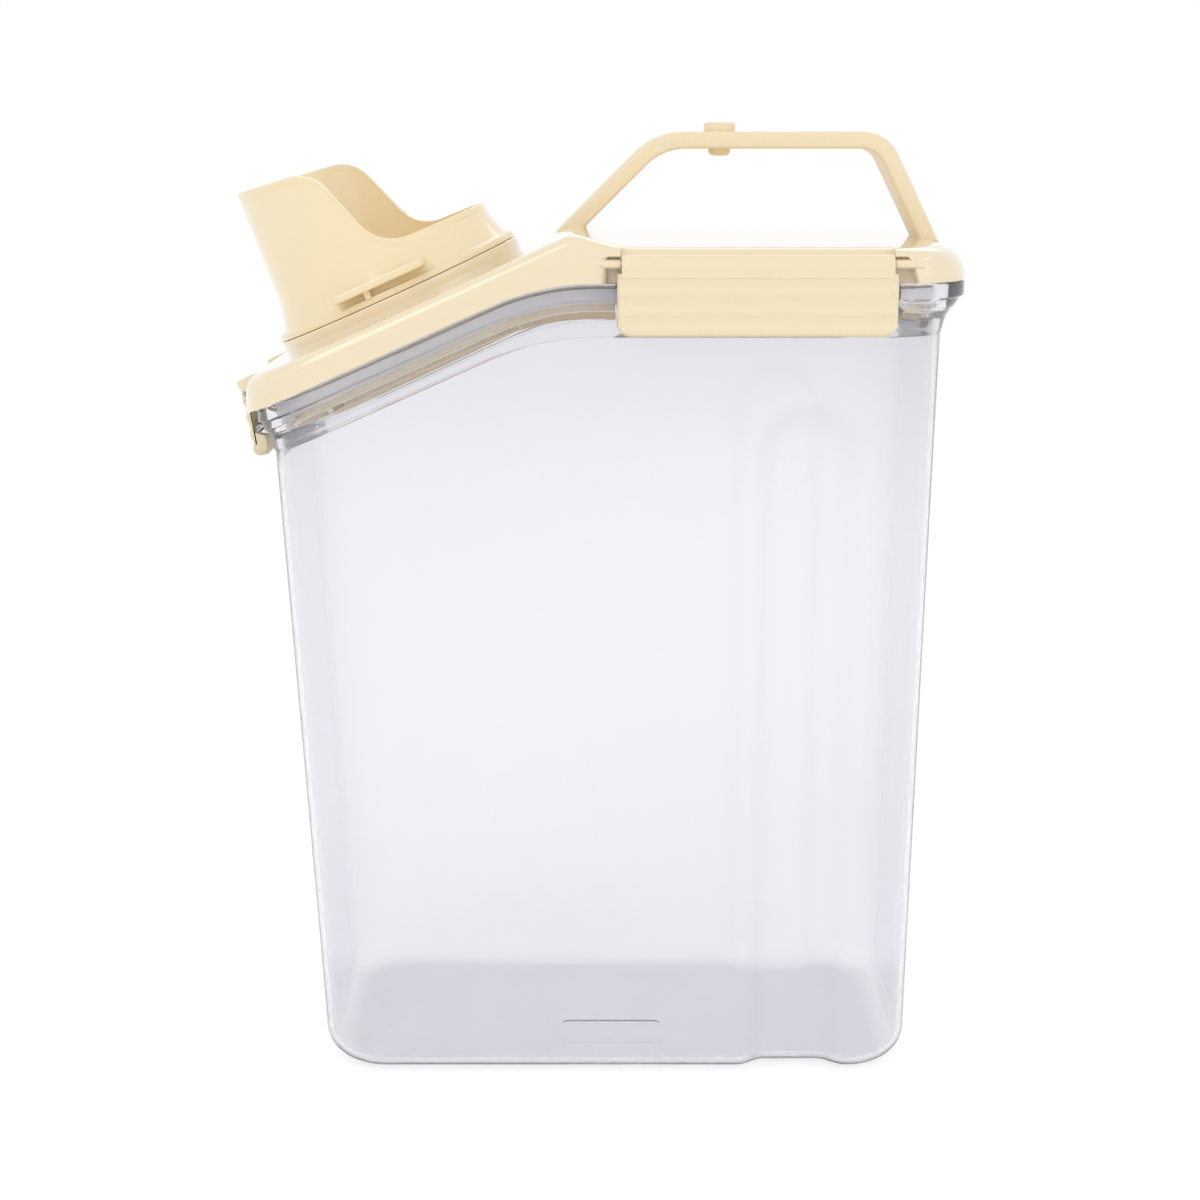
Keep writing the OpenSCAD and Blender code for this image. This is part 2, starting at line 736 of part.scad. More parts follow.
// One latch in its own frame: barrel, ribbed plate and hook
module latch(w) {
    upper_half = w / 2 - shoulder_step;
    shoulder_z = barrel_r + ear_gap;
    cam_low = -ledge_drop - ledge_t - hook_gap;
    plate_in = latch_t - latch_face;
    color(cream) difference() {
        union() {
            rotate([0, 90, 0]) cylinder(r = barrel_r, h = 2 * upper_half, center = true);
            translate([-upper_half, -latch_face, -shoulder_z - overlap])
                cube([2 * upper_half, latch_t, shoulder_z + overlap + 1]);
            intersection() {
                rotate([90, 0, 90]) linear_extrude(w, center = true) polygon(rounded([
                    [-latch_face, -shoulder_z, 0],
                    [-latch_face, -latch_len, latch_edge_r],
                    [hook_reach, -latch_len, hook_edge_r],
                    [hook_reach, cam_low - ledge_cam * (hook_reach + ledge_tip), 0],
                    [plate_in, cam_low - ledge_cam * (plate_in + ledge_tip), 0],
                    [plate_in, -shoulder_z, 0]]));
                rotate([90, 0, 0]) linear_extrude(deep, center = true) translate([0, -deep / 2])
                    rotate(90) plan(deep / 2 - latch_len, deep / 2 + latch_len, w / 2, latch_corner_r);
            }
        }
        for (i = [0 : 2])
            translate([0, -latch_face - groove_face_r + groove_face_depth,
                       -latch_groove_top - i * latch_groove_pitch]) rotate([0, 90, 0])
                cylinder(r = groove_face_r, h = w + 2, center = true);
        pin_hole(w);
    }
}

// One hinge pin
module pin(half) color(steel) rotate([0, 90, 0]) cylinder(r = pin_r, h = 2 * half, center = true);

// The handle's strap, seen from the side, with both legs carried down to a level
function strap_outline() =
    let (low = top_z - 6)
    let (f = [cos(front_leg_angle), sin(front_leg_angle)], b = [cos(back_leg_angle), sin(back_leg_angle)])
    let (front = [grip_front_x, grip_z], back = [grip_back_x, grip_z])
    let (front_in = front + unit([1 - f[0], -f[1]]) * strap_t / sin((180 - front_leg_angle) / 2))
    let (back_in = back + unit([b[0] - 1, -b[1]]) * strap_t / sin((180 - back_leg_angle) / 2))
    rounded([
        [front[0] - (grip_z - low) * f[0] / f[1], low, 0],
        [front[0], front[1], front_bend_r],
        [back[0], back[1], back_bend_r],
        [back[0] + (grip_z - low) * b[0] / b[1], low, 0],
        [back_in[0] + (back_in[1] - low) * b[0] / b[1], low, 0],
        [back_in[0], back_in[1], back_bend_r - strap_t],
        [front_in[0], front_in[1], front_bend_r - strap_t],
        [front_in[0] - (front_in[1] - low) * f[0] / f[1], low, 0]]);

// Carry handle whose tongues snap through the lid
module handle() {
    color(cream) difference() {
        union() {
            difference() {
                across(strap_depth) polygon(strap_outline());
                across(wide) polygon(lid_outline(0, 0));
            }
            for (t = tongues()) {
                translate([t[0] - tongue_t / 2, -tongue_depth / 2, t[1]])
                    cube([tongue_t, tongue_depth, tongue_len]);
                translate([t[0] - tongue_t / 2 - barb, -tongue_depth / 2, t[1]])
                    cube([tongue_t + 2 * barb, tongue_depth, barb_h]);
            }
        }
        translate([stud_x, 0, grip_z - 2 * strap_t]) cylinder(r = stud_shank_r + stud_gap, h = 4 * strap_t);
    }
}

// Stepped stud riveted through the grip
module handle_stud() {
    color(cream) translate([stud_x, 0, grip_z]) {
        cylinder(r = stud_head_r, h = stud_head_h);
        translate([0, 0, -strap_t - overlap / 2]) cylinder(r = stud_shank_r, h = strap_t + overlap);
        translate([0, 0, -strap_t - stud_button_h]) cylinder(r = stud_button_r, h = stud_button_h);
    }
}

tub();
lid();
lid_gasket();
cup();
cup_seal();
at_near() latch(side_latch_w);  // near_latch
at_far() latch(side_latch_w);  // far_latch
at_front() latch(front_latch_w);  // front_latch
at_near() pin(side_pin_half);  // near_latch_pin
at_far() pin(side_pin_half);  // far_latch_pin
at_front() pin(front_pin_half);  // front_latch_pin
handle();
handle_stud();
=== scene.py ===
"""Dresses a clear dry food container: tub, clipped lid, pour cup, latches and carry handle."""

import json
import logging
import math
from dataclasses import dataclass, field
from enum import Enum
from typing import Callable, Iterable, Optional, Sequence

import bmesh
import bpy
from mathutils import Matrix, Vector

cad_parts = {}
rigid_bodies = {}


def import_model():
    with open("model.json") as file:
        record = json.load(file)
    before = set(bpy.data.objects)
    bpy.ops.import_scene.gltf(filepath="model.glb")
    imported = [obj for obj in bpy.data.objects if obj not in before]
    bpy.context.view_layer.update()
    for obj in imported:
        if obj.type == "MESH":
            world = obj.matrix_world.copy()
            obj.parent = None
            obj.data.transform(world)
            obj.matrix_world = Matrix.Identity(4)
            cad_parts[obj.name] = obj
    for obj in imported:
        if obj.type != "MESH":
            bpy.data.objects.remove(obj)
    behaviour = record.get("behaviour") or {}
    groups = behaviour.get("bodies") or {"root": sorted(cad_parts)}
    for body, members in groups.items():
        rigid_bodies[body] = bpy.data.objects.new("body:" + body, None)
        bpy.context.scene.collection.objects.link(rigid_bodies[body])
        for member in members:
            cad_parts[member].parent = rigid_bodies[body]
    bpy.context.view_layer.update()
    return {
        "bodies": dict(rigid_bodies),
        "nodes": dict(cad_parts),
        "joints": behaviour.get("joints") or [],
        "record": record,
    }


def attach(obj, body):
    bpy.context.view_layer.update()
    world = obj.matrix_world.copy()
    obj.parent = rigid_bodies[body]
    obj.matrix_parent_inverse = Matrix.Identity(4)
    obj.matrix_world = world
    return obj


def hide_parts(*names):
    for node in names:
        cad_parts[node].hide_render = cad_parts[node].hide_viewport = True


Point2 = tuple[float, float]
Point3 = tuple[float, float, float]

MM = 0.001
LOG = logging.getLogger("container")

# Shared lines of the container, in millimetres
FLAT_RIM_Z = 304.5
SLOPE_DEG = 24.1
KNEE_X = -26.8
RIM_BLEND_R = 90.0
PARTING_GAP = 0.3
LID_HEIGHT = 12.7
LID_FRONT = 134.5
LID_BACK = 124.7
LID_HALF_DEPTH = 75.0
LID_CORNER_R = 30.0
CREST_X = -15.5
CREST_FALL = 19.0
NECK_X = -80.9
LATCH_X = 48.6
SIDE_LATCH_W = 97.5
FRONT_LATCH_W = 60.0
HINGE_Y = 73.4
HINGE_Z = FLAT_RIM_Z + 7.0
FRONT_HINGE_X = 136.2
FRONT_HINGE_Z = 262.0
FRONT_LEAN = 10.0
POCKET_GAP = 3.1
SWING_R = 4.1
FAR_AWAY = 400.0
TAN_SLOPE = math.tan(math.radians(SLOPE_DEG))
TOP_Z = FLAT_RIM_Z + LID_HEIGHT


class Body(Enum):
    """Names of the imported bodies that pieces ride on."""

    CONTAINER = "container"
    LID = "lid_group"
    CUP = "cup_group"
    NEAR = "near_clip"
    FAR = "far_clip"
    FRONT = "front_clip"


class Side(Enum):
    """The three places that carry a latch."""

    NEAR = "near"
    FAR = "far"
    FRONT = "front"


def lerp(a: float, b: float, t: float) -> float:
    """Returns the value a share t of the way from a to b."""
    return a + (b - a) * t


def smooth_step(t: float) -> float:
    """Returns a soft ramp from 0 to 1 for t from 0 to 1."""
    t = min(1.0, max(0.0, t))
    return t * t * (3.0 - 2.0 * t)


def bend(a: Point2, p: Point2, b: Point2, r: float, steps: int = 10) -> list[Point2]:
    """Rounds the corner p between its neighbours.

    Args:
        a: The point before the corner.
        p: The corner.
        b: The point after the corner.
        r: Radius of the arc.
        steps: Number of straight stretches in the arc.

    Returns:
        The points of the arc, in order.
    """
    corner = Vector(p)
    u = (Vector(a) - corner).normalized()
    v = (Vector(b) - corner).normalized()
    half = u.angle(v) / 2.0
    centre = corner + (u + v).normalized() * r / math.sin(half)
    start = corner + u * r / math.tan(half) - centre
    end = corner + v * r / math.tan(half) - centre
    first = math.atan2(start.y, start.x)
    sweep = (math.atan2(end.y, end.x) - first + 3 * math.pi) % (2 * math.pi) - math.pi
    turns = [first + sweep * i / steps for i in range(steps + 1)]
    return [(centre.x + r * math.cos(t), centre.y + r * math.sin(t)) for t in turns]


def rounded(corners: Sequence[tuple[float, float, float]], steps: int = 8) -> list[Point2]:
    """Rounds the corners of a closed outline.

    Args:
        corners: Corners as (x, y, radius); a radius of 0 keeps the corner.
        steps: Number of straight stretches in each arc.

    Returns:
        The points of the outline, in order.
    """
    line: list[Point2] = []
    for i, (x, y, r) in enumerate(corners):
        before = corners[i - 1]
        after = corners[(i + 1) % len(corners)]
        if r == 0:
            line.append((x, y))
        else:
            line.extend(bend(before[:2], (x, y), after[:2], r, steps))
    return line


@dataclass
class SideLine:
    """A line seen from the side, with one height for each place along the length."""

    points: list[Point2]

    def at(self, x: float) -> float:
        """Returns the line's height at x."""
        if x <= self.points[0][0]:
            return self.points[0][1]
        for (x0, z0), (x1, z1) in zip(self.points, self.points[1:]):
            if x <= x1:
                return lerp(z0, z1, (x - x0) / (x1 - x0))
        return self.points[-1][1]


def parting_line() -> SideLine:
    """Returns the line where the tub's collar meets the lid's skirt."""
    front = (-FAR_AWAY, FLAT_RIM_Z - (FAR_AWAY + KNEE_X) * TAN_SLOPE)
    back = (FAR_AWAY, FLAT_RIM_Z)
    return SideLine([front, *bend(front, (KNEE_X, FLAT_RIM_Z), back, RIM_BLEND_R, 16), back])


def lid_top_line() -> SideLine:
    """Returns the top line of the lid, from the slope over the crest to the flat part."""
    front = (-FAR_AWAY, TOP_Z - (FAR_AWAY + KNEE_X) * TAN_SLOPE)
    crest = (CREST_X, TOP_Z + (CREST_X - KNEE_X) * TAN_SLOPE)
    flat = (CREST_X + CREST_FALL, TOP_Z)
    back = (FAR_AWAY, TOP_Z)
    return SideLine([front, *bend(front, crest, flat, 7.0, 8), *bend(crest, flat, back, 24.0, 8), back])


RIM = parting_line()
LID_TOP = lid_top_line()


def slope_frame(rise: float = 0.0) -> Matrix:
    """Returns the frame on the lid's slope whose Z is the neck's axis, raised along it."""
    z = FLAT_RIM_Z + (NECK_X - KNEE_X) * TAN_SLOPE + LID_HEIGHT
    turn = Matrix.Rotation(math.radians(-SLOPE_DEG), 4, "Y")
    return Matrix.Translation((NECK_X, 0.0, z)) @ turn @ Matrix.Translation((0.0, 0.0, rise))


def latch_frame(side: Side) -> Matrix:
    """Returns a latch's frame: the origin on its hinge axis, -Y outwards and +Z up."""
    if side is Side.FRONT:
        place = Matrix.Translation((-FRONT_HINGE_X, 0.0, FRONT_HINGE_Z))
        turn = Matrix.Rotation(math.radians(-90.0), 4, "Z")
        return place @ turn @ Matrix.Rotation(math.radians(FRONT_LEAN), 4, "X")
    near = Matrix.Translation((LATCH_X, -HINGE_Y, HINGE_Z))
    if side is Side.NEAR:
        return near
    return Matrix.Scale(-1.0, 4, (0.0, 1.0, 0.0)) @ near


# Mesh helpers


def outward(bm: bmesh.types.BMesh) -> bmesh.types.BMesh:
    """Turns the faces of a mesh outwards."""
    bmesh.ops.recalc_face_normals(bm, faces=bm.faces)
    if bm.calc_volume(signed=True) < 0:
        bmesh.ops.reverse_faces(bm, faces=bm.faces)
    return bm


def loft(rings: Sequence[Sequence[Point3]], caps: bool = True) -> bmesh.types.BMesh:
    """Draws a skin through closed rings that have the same number of points.

    Args:
        rings: The rings, each a list of points in order.
        caps: Whether the first and the last ring are filled.

    Returns:
        The mesh, with its faces turned outwards.
    """
    bm = bmesh.new()
    place = bm.verts.layers.int.new("place")
    made = bmesh.ops.create_circle(bm, cap_ends=False, segments=len(rings[0]), radius=1.0)
    for i, vert in enumerate(made["verts"]):
        vert[place] = i
        vert.co = rings[0][i]
    edges = list(bm.edges)
    ends = [list(edges)]
    for ring in rings[1:]:
        out = bmesh.ops.extrude_edge_only(bm, edges=edges)["geom"]
        new_verts = {item for item in out if isinstance(item, bmesh.types.BMVert)}
        for vert in new_verts:
            vert.co = ring[vert[place]]
        edges = [item for item in out
                 if isinstance(item, bmesh.types.BMEdge) and set(item.verts) <= new_verts]
    ends.append(edges)
    if caps:
        for end in ends:
            bmesh.ops.contextual_create(bm, geom=end)
    else:
        bmesh.ops.remove_doubles(bm, verts=bm.verts, dist=1e-4)
    return outward(bm)


def chain(bm: bmesh.types.BMesh, points: Iterable[Point3], closed: bool) -> list:
    """Adds a chain of edges through points.

    Args:
        bm: The mesh that takes the chain.
        points: The points, in order.
        closed: Whether the last point joins the first.

    Returns:
        The new vertices and edges.
    """
    verts = [bm.verts.new(p) for p in points]
    pairs = list(zip(verts, verts[1:]))
    if closed:
        pairs.append((verts[-1], verts[0]))
    return verts + [bm.edges.new(pair) for pair in pairs]


def turned(profile: Sequence[Point2], steps: int, closed: bool = False) -> bmesh.types.BMesh:
    """Spins a half section round the Z axis.

    Args:
        profile: The half section as (radius, height).
        steps: Number of steps in the full turn.
        closed: Whether the half section is a closed outline off the axis.

    Returns:
        The mesh, with its faces turned outwards.
    """
    bm = bmesh.new()
    geom = chain(bm, [(r, 0.0, z) for r, z in profile], closed)
    bmesh.ops.spin(bm, geom=geom, cent=(0, 0, 0), axis=(0, 0, 1), angle=2 * math.pi,
                   steps=steps, use_merge=True)
    bmesh.ops.remove_doubles(bm, verts=bm.verts, dist=1e-4)
    return outward(bm)


def prism(outline: Sequence[Point2], low: float, high: float, round_r: float = 0.0,
          round_steps: int = 3) -> bmesh.types.BMesh:
    """Extrudes an outline along Z and rounds the edges of both ends.

    Args:
        outline: The outline, as points in order.
        low: Where the prism starts.
        high: Where the prism ends.
        round_r: Radius of the rounding; 0 leaves the edges sharp.
        round_steps: Number of steps in the rounding.

    Returns:
        The mesh, with its faces turned outwards.
    """
    bm = bmesh.new()
    chain_geom = chain(bm, [(x, y, low) for x, y in outline], True)
    face = bmesh.ops.contextual_create(bm, geom=chain_geom)["faces"]
    out = bmesh.ops.extrude_face_region(bm, geom=face)["geom"]
    verts = [item for item in out if isinstance(item, bmesh.types.BMVert)]
    bmesh.ops.translate(bm, verts=verts, vec=(0, 0, high - low))
    outward(bm)
    if round_r > 0:
        edges = [e for e in bm.edges if abs(e.verts[0].co.z - e.verts[1].co.z) < 1e-6]
        bmesh.ops.bevel(bm, geom=edges, offset=round_r, segments=round_steps, profile=0.5,
                        affect="EDGES", material=-1, clamp_overlap=True)
    return bm


def across(bm: bmesh.types.BMesh) -> bmesh.types.BMesh:
    """Stands a prism up, so that its outline is seen from the side and it runs along Y."""
    bmesh.ops.rotate(bm, verts=bm.verts, cent=(0, 0, 0), matrix=Matrix.Rotation(math.pi / 2, 3, "X"))
    return bm


def moved(bm: bmesh.types.BMesh, frame: Matrix) -> bmesh.types.BMesh:
    """Moves a mesh into a frame and keeps its faces turned outwards."""
    bmesh.ops.transform(bm, matrix=frame, verts=bm.verts)
    return outward(bm)


def block(low: Point3, high: Point3, round_r: float = 0.0) -> bmesh.types.BMesh:
    """Returns a box between two corners, with rounded edges where a radius is given."""
    bm = bmesh.new()
    bmesh.ops.create_cube(bm, size=1.0)
    size = [b - a for a, b in zip(low, high)]
    middle = [(a + b) / 2 for a, b in zip(low, high)]
    bmesh.ops.scale(bm, verts=bm.verts, vec=size)
    bmesh.ops.translate(bm, verts=bm.verts, vec=middle)
    if round_r > 0:
        bmesh.ops.bevel(bm, geom=bm.edges[:], offset=round_r, segments=3, profile=0.5,
                        affect="EDGES", material=-1, clamp_overlap=True)
    return bm


def as_object(bm: bmesh.types.BMesh, name: str, sharp_deg: float = 32.0) -> bpy.types.Object:
    """Turns a mesh in millimetres into a scene object in metres.

    Args:
        bm: The mesh; it is freed.
        name: Name of the object.
        sharp_deg: Edges that bend more than this are shaded as sharp.

    Returns:
        The object, at the origin.
    """
    bmesh.ops.scale(bm, verts=bm.verts, vec=(MM, MM, MM))
    mesh = bpy.data.meshes.new(name)
    bm.to_mesh(mesh)
    bm.free()
    obj = bpy.data.objects.new(name, mesh)
    bpy.context.scene.collection.objects.link(obj)
    shade(obj, sharp_deg)
    return obj


def shade(obj: bpy.types.Object, sharp_deg: float) -> None:
    """Shades an object smooth, with sharp edges where it bends more than an angle."""
    bm = bmesh.new()
    bm.from_mesh(obj.data)
    limit = math.radians(sharp_deg)
    for face in bm.faces:
        face.smooth = True
    for edge in bm.edges:
        edge.smooth = len(edge.link_faces) == 2 and edge.calc_face_angle(0.0) < limit
    bm.to_mesh(obj.data)
    bm.free()


def gathered(meshes: Sequence[bmesh.types.BMesh]) -> bmesh.types.BMesh:
    """Puts several closed meshes into one, and frees them."""
    whole = bmesh.new()
    for part in meshes:
        scratch = bpy.data.meshes.new("scratch")
        part.to_mesh(scratch)
        part.free()
        whole.from_mesh(scratch)
        bpy.data.meshes.remove(scratch)
    return whole


def carved(obj: bpy.types.Object, added: Sequence[bmesh.types.BMesh],
           cut: Sequence[bmesh.types.BMesh], sharp_deg: float = 32.0) -> bpy.types.Object:
    """Adds solids to an object, cuts others from it, and keeps the result as its mesh.

    Args:
        obj: The object that is carved.
        added: Solids in millimetres that are joined to it.
        cut: Solids in millimetres that are cut from it afterwards.
        sharp_deg: Edges that bend more than this are shaded as sharp.

    Returns:
        The same object.
    """
    tools = []
    for mode, solids in (("UNION", added), ("DIFFERENCE", cut)):
        for solid in solids:
            tool = as_object(solid, "tool")
            tools.append(tool)
            step = obj.modifiers.new("carve", "BOOLEAN")
            step.operation = mode
            step.solver = "EXACT"
            step.object = tool
    settle(obj)
    for tool in tools:
        mesh = tool.data
        bpy.data.objects.remove(tool)
        bpy.data.meshes.remove(mesh)
    shade(obj, sharp_deg)
    return obj


def settle(obj: bpy.types.Object) -> None:
    """Applies an object's modifiers to its mesh."""
    bpy.context.view_layer.update()
    graph = bpy.context.evaluated_depsgraph_get()
    mesh = bpy.data.meshes.new_from_object(obj.evaluated_get(graph))
    old = obj.data
    mesh.name = old.name
    obj.modifiers.clear()
    obj.data = mesh
    bpy.data.meshes.remove(old)


def place(obj: bpy.types.Object, body: Body, nodes: Sequence[str], slot: str,
          material: bpy.types.Material) -> bpy.types.Object:
    """Dresses a piece, ties it to its body and hides its nodes."""
    obj.data.materials.clear()
    obj.data.materials.append(material)
    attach(obj, body.value)
    if nodes:
        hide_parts(*nodes)
    LOG.info("%s: %d faces, rides on %s", obj.name, len(obj.data.polygons), body.value)
    return obj


# Finishes
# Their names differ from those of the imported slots, whose materials would be found and used instead


def moulded_group() -> bpy.types.NodeTree:
    """Returns the shared group for moulded plastic: uneven colour, uneven gloss and fine grain."""
    name = "moulded_plastic"
    if name in bpy.data.node_groups:
        return bpy.data.node_groups[name]
    group = bpy.data.node_groups.new(name, "ShaderNodeTree")
    sockets = group.interface
    sockets.new_socket("Colour", in_out="INPUT", socket_type="NodeSocketColor")
    for label, value in (("Roughness", 0.3), ("Unevenness", 0.02), ("Gloss Change", 0.05),
                         ("Grain Size", 900.0), ("Grain Depth", 0.1)):
        sockets.new_socket(label, in_out="INPUT", socket_type="NodeSocketFloat").default_value = value
    sockets.new_socket("Colour", in_out="OUTPUT", socket_type="NodeSocketColor")
    sockets.new_socket("Roughness", in_out="OUTPUT", socket_type="NodeSocketFloat")
    sockets.new_socket("Normal", in_out="OUTPUT", socket_type="NodeSocketVector")
    nodes = group.nodes
    link = group.links.new
    entry = nodes.new("NodeGroupInput")
    leave = nodes.new("NodeGroupOutput")
    where = nodes.new("ShaderNodeTexCoord")
    flow = nodes.new("ShaderNodeTexNoise")
    flow.inputs["Scale"].default_value = 14.0
    flow.inputs["Detail"].default_value = 3.0
    link(where.outputs["Object"], flow.inputs["Vector"])
    centred = nodes.new("ShaderNodeMath")
    centred.operation = "SUBTRACT"
    centred.inputs[1].default_value = 0.5
    link(flow.outputs["Fac"], centred.inputs[0])
    shift = nodes.new("ShaderNodeMath")
    shift.operation = "MULTIPLY_ADD"
    shift.inputs[2].default_value = 1.0
    link(centred.outputs[0], shift.inputs[0])
    link(entry.outputs["Unevenness"], shift.inputs[1])
    tint = nodes.new("ShaderNodeHueSaturation")
    link(entry.outputs["Colour"], tint.inputs["Color"])
    link(shift.outputs[0], tint.inputs["Value"])
    link(tint.outputs["Color"], leave.inputs["Colour"])
    gloss = nodes.new("ShaderNodeMath")
    gloss.operation = "MULTIPLY_ADD"
    link(centred.outputs[0], gloss.inputs[0])
    link(entry.outputs["Gloss Change"], gloss.inputs[1])
    link(entry.outputs["Roughness"], gloss.inputs[2])
    link(gloss.outputs[0], leave.inputs["Roughness"])
    grain = nodes.new("ShaderNodeTexNoise")
    grain.inputs["Detail"].default_value = 2.0
    link(where.outputs["Object"], grain.inputs["Vector"])
    link(entry.outputs["Grain Size"], grain.inputs["Scale"])
    bump = nodes.new("ShaderNodeBump")
    bump.inputs["Distance"].default_value = 0.0002
    link(entry.outputs["Grain Depth"], bump.inputs["Strength"])
    link(grain.outputs["Fac"], bump.inputs["Height"])
    link(bump.outputs["Normal"], leave.inputs["Normal"])
    return group


@dataclass(frozen=True)
class MouldedFinish:
    """An opaque moulded plastic or rubber."""

    name: str
    colour: tuple[float, float, float]
    roughness: float
    unevenness: float = 0.03
    gloss_change: float = 0.05
    grain_size: float = 900.0
    grain_depth: float = 0.1
    coat: float = 0.0
    subsurface: float = 0.0

    def material(self) -> bpy.types.Material:
        """Returns the material, built once."""
        if self.name in bpy.data.materials:
            return bpy.data.materials[self.name]
        made = bpy.data.materials.new(self.name)
        made.use_nodes = True
        nodes = made.node_tree.nodes
        link = made.node_tree.links.new
        shader = nodes["Principled BSDF"]
        surface = nodes.new("ShaderNodeGroup")
        surface.node_tree = moulded_group()
        surface.inputs["Colour"].default_value = (*self.colour, 1.0)
        surface.inputs["Roughness"].default_value = self.roughness
        surface.inputs["Unevenness"].default_value = self.unevenness
        surface.inputs["Gloss Change"].default_value = self.gloss_change
        surface.inputs["Grain Size"].default_value = self.grain_size
        surface.inputs["Grain Depth"].default_value = self.grain_depth
        shader.inputs["Coat Weight"].default_value = self.coat
        shader.inputs["Coat Roughness"].default_value = 0.03
        shader.inputs["Subsurface Weight"].default_value = self.subsurface
        shader.inputs["Subsurface Scale"].default_value = 0.004
        link(surface.outputs["Colour"], shader.inputs["Base Color"])
        link(surface.outputs["Roughness"], shader.inputs["Roughness"])
        link(surface.outputs["Normal"], shader.inputs["Normal"])
        return made


@dataclass(frozen=True)
class ClearFinish:
    """A clear moulded plastic that looks darker where it is seen at a slant."""

    name: str
    colour: tuple[float, float, float]
    slant_colour: tuple[float, float, float]
    roughness: float
    ior: float

    def material(self) -> bpy.types.Material:
        """Returns the material, built once."""
        if self.name in bpy.data.materials:
            return bpy.data.materials[self.name]
        made = bpy.data.materials.new(self.name)
        made.use_nodes = True
        nodes = made.node_tree.nodes
        link = made.node_tree.links.new
        shader = nodes["Principled BSDF"]
        surface = nodes.new("ShaderNodeGroup")
        surface.node_tree = moulded_group()
        slant = nodes.new("ShaderNodeLayerWeight")
        slant.inputs["Blend"].default_value = 0.5
        tint = nodes.new("ShaderNodeMix")
        tint.data_type = "RGBA"
        tint.inputs["A"].default_value = (*self.colour, 1.0)
        tint.inputs["B"].default_value = (*self.slant_colour, 1.0)
        link(slant.outputs["Facing"], tint.inputs["Factor"])
        link(tint.outputs["Result"], surface.inputs["Colour"])
        surface.inputs["Roughness"].default_value = self.roughness
        surface.inputs["Unevenness"].default_value = 0.01
        surface.inputs["Gloss Change"].default_value = 0.01
        surface.inputs["Grain Size"].default_value = 120.0
        surface.inputs["Grain Depth"].default_value = 0.0
        shader.inputs["Transmission Weight"].default_value = 0.94
        shader.inputs["IOR"].default_value = self.ior
        rays = nodes.new("ShaderNodeLightPath")
        thin = nodes.new("ShaderNodeMath")
        thin.operation = "MULTIPLY_ADD"
        thin.inputs[1].default_value = -0.93
        thin.inputs[2].default_value = 1.0
        link(rays.outputs["Is Shadow Ray"], thin.inputs[0])
        link(thin.outputs[0], shader.inputs["Alpha"])
        link(surface.outputs["Colour"], shader.inputs["Base Color"])
        link(surface.outputs["Roughness"], shader.inputs["Roughness"])
        link(surface.outputs["Normal"], shader.inputs["Normal"])
        return made


@dataclass(frozen=True)
class SteelFinish:
    """Drawn steel wire with a fine noise in its tone and gloss."""

    name: str = "steel_wire"
    colour: tuple[float, float, float] = (0.62, 0.62, 0.64)

    def material(self) -> bpy.types.Material:
        """Returns the material, built once."""
        if self.name in bpy.data.materials:
            return bpy.data.materials[self.name]
        made = bpy.data.materials.new(self.name)
        made.use_nodes = True
        nodes = made.node_tree.nodes
        link = made.node_tree.links.new
        shader = nodes["Principled BSDF"]
        shader.inputs["Metallic"].default_value = 1.0
        where = nodes.new("ShaderNodeTexCoord")
        lines = nodes.new("ShaderNodeTexNoise")
        lines.inputs["Scale"].default_value = 2500.0
        ramp = nodes.new("ShaderNodeMapRange")
        ramp.inputs["To Min"].default_value = 0.22
        ramp.inputs["To Max"].default_value = 0.42
        tint = nodes.new("ShaderNodeHueSaturation")
        tint.inputs["Color"].default_value = (*self.colour, 1.0)
        level = nodes.new("ShaderNodeMapRange")
        level.inputs["To Min"].default_value = 0.85
        level.inputs["To Max"].default_value = 1.1
        link(where.outputs["Object"], lines.inputs["Vector"])
        link(lines.outputs["Fac"], ramp.inputs["Value"])
        link(lines.outputs["Fac"], level.inputs["Value"])
        link(level.outputs["Result"], tint.inputs["Value"])
        link(ramp.outputs["Result"], shader.inputs["Roughness"])
        link(tint.outputs["Color"], shader.inputs["Base Color"])
        return made


CREAM_GLOSS = MouldedFinish("lid_plastic", (0.90, 0.765, 0.535), 0.14, coat=1.0, grain_depth=0.01)
CREAM_SATIN = MouldedFinish("satin_plastic", (0.90, 0.765, 0.535), 0.34, grain_depth=0.12)
CREAM_CUP = MouldedFinish("cup_plastic", (0.93, 0.785, 0.52), 0.2, coat=0.5, grain_depth=0.03)
SILICONE = MouldedFinish("seal_rubber", (0.92, 0.91, 0.90), 0.5, grain_size=600.0, grain_depth=0.15)
CLEAR_BODY = ClearFinish("clear_plastic", (0.91, 0.907, 0.935), (0.82, 0.82, 0.86), 0.02, 1.3)
PIN_STEEL = SteelFinish()


# Sub-assemblies


@dataclass
class Plan:
    """A rectangle with round corners, seen from above."""

    front: float
    back: float
    half_depth: float
    corner_r: float

    def inset(self, amount: float) -> "Plan":
        """Returns the plan set in by an amount."""
        return Plan(self.front - amount, self.back - amount, self.half_depth - amount,
                    max(0.5, self.corner_r - amount))

    def blend(self, other: "Plan", t: float) -> "Plan":
        """Returns the plan a share t of the way to another."""
        return Plan(lerp(self.front, other.front, t), lerp(self.back, other.back, t),
                    lerp(self.half_depth, other.half_depth, t),
                    lerp(self.corner_r, other.corner_r, t))


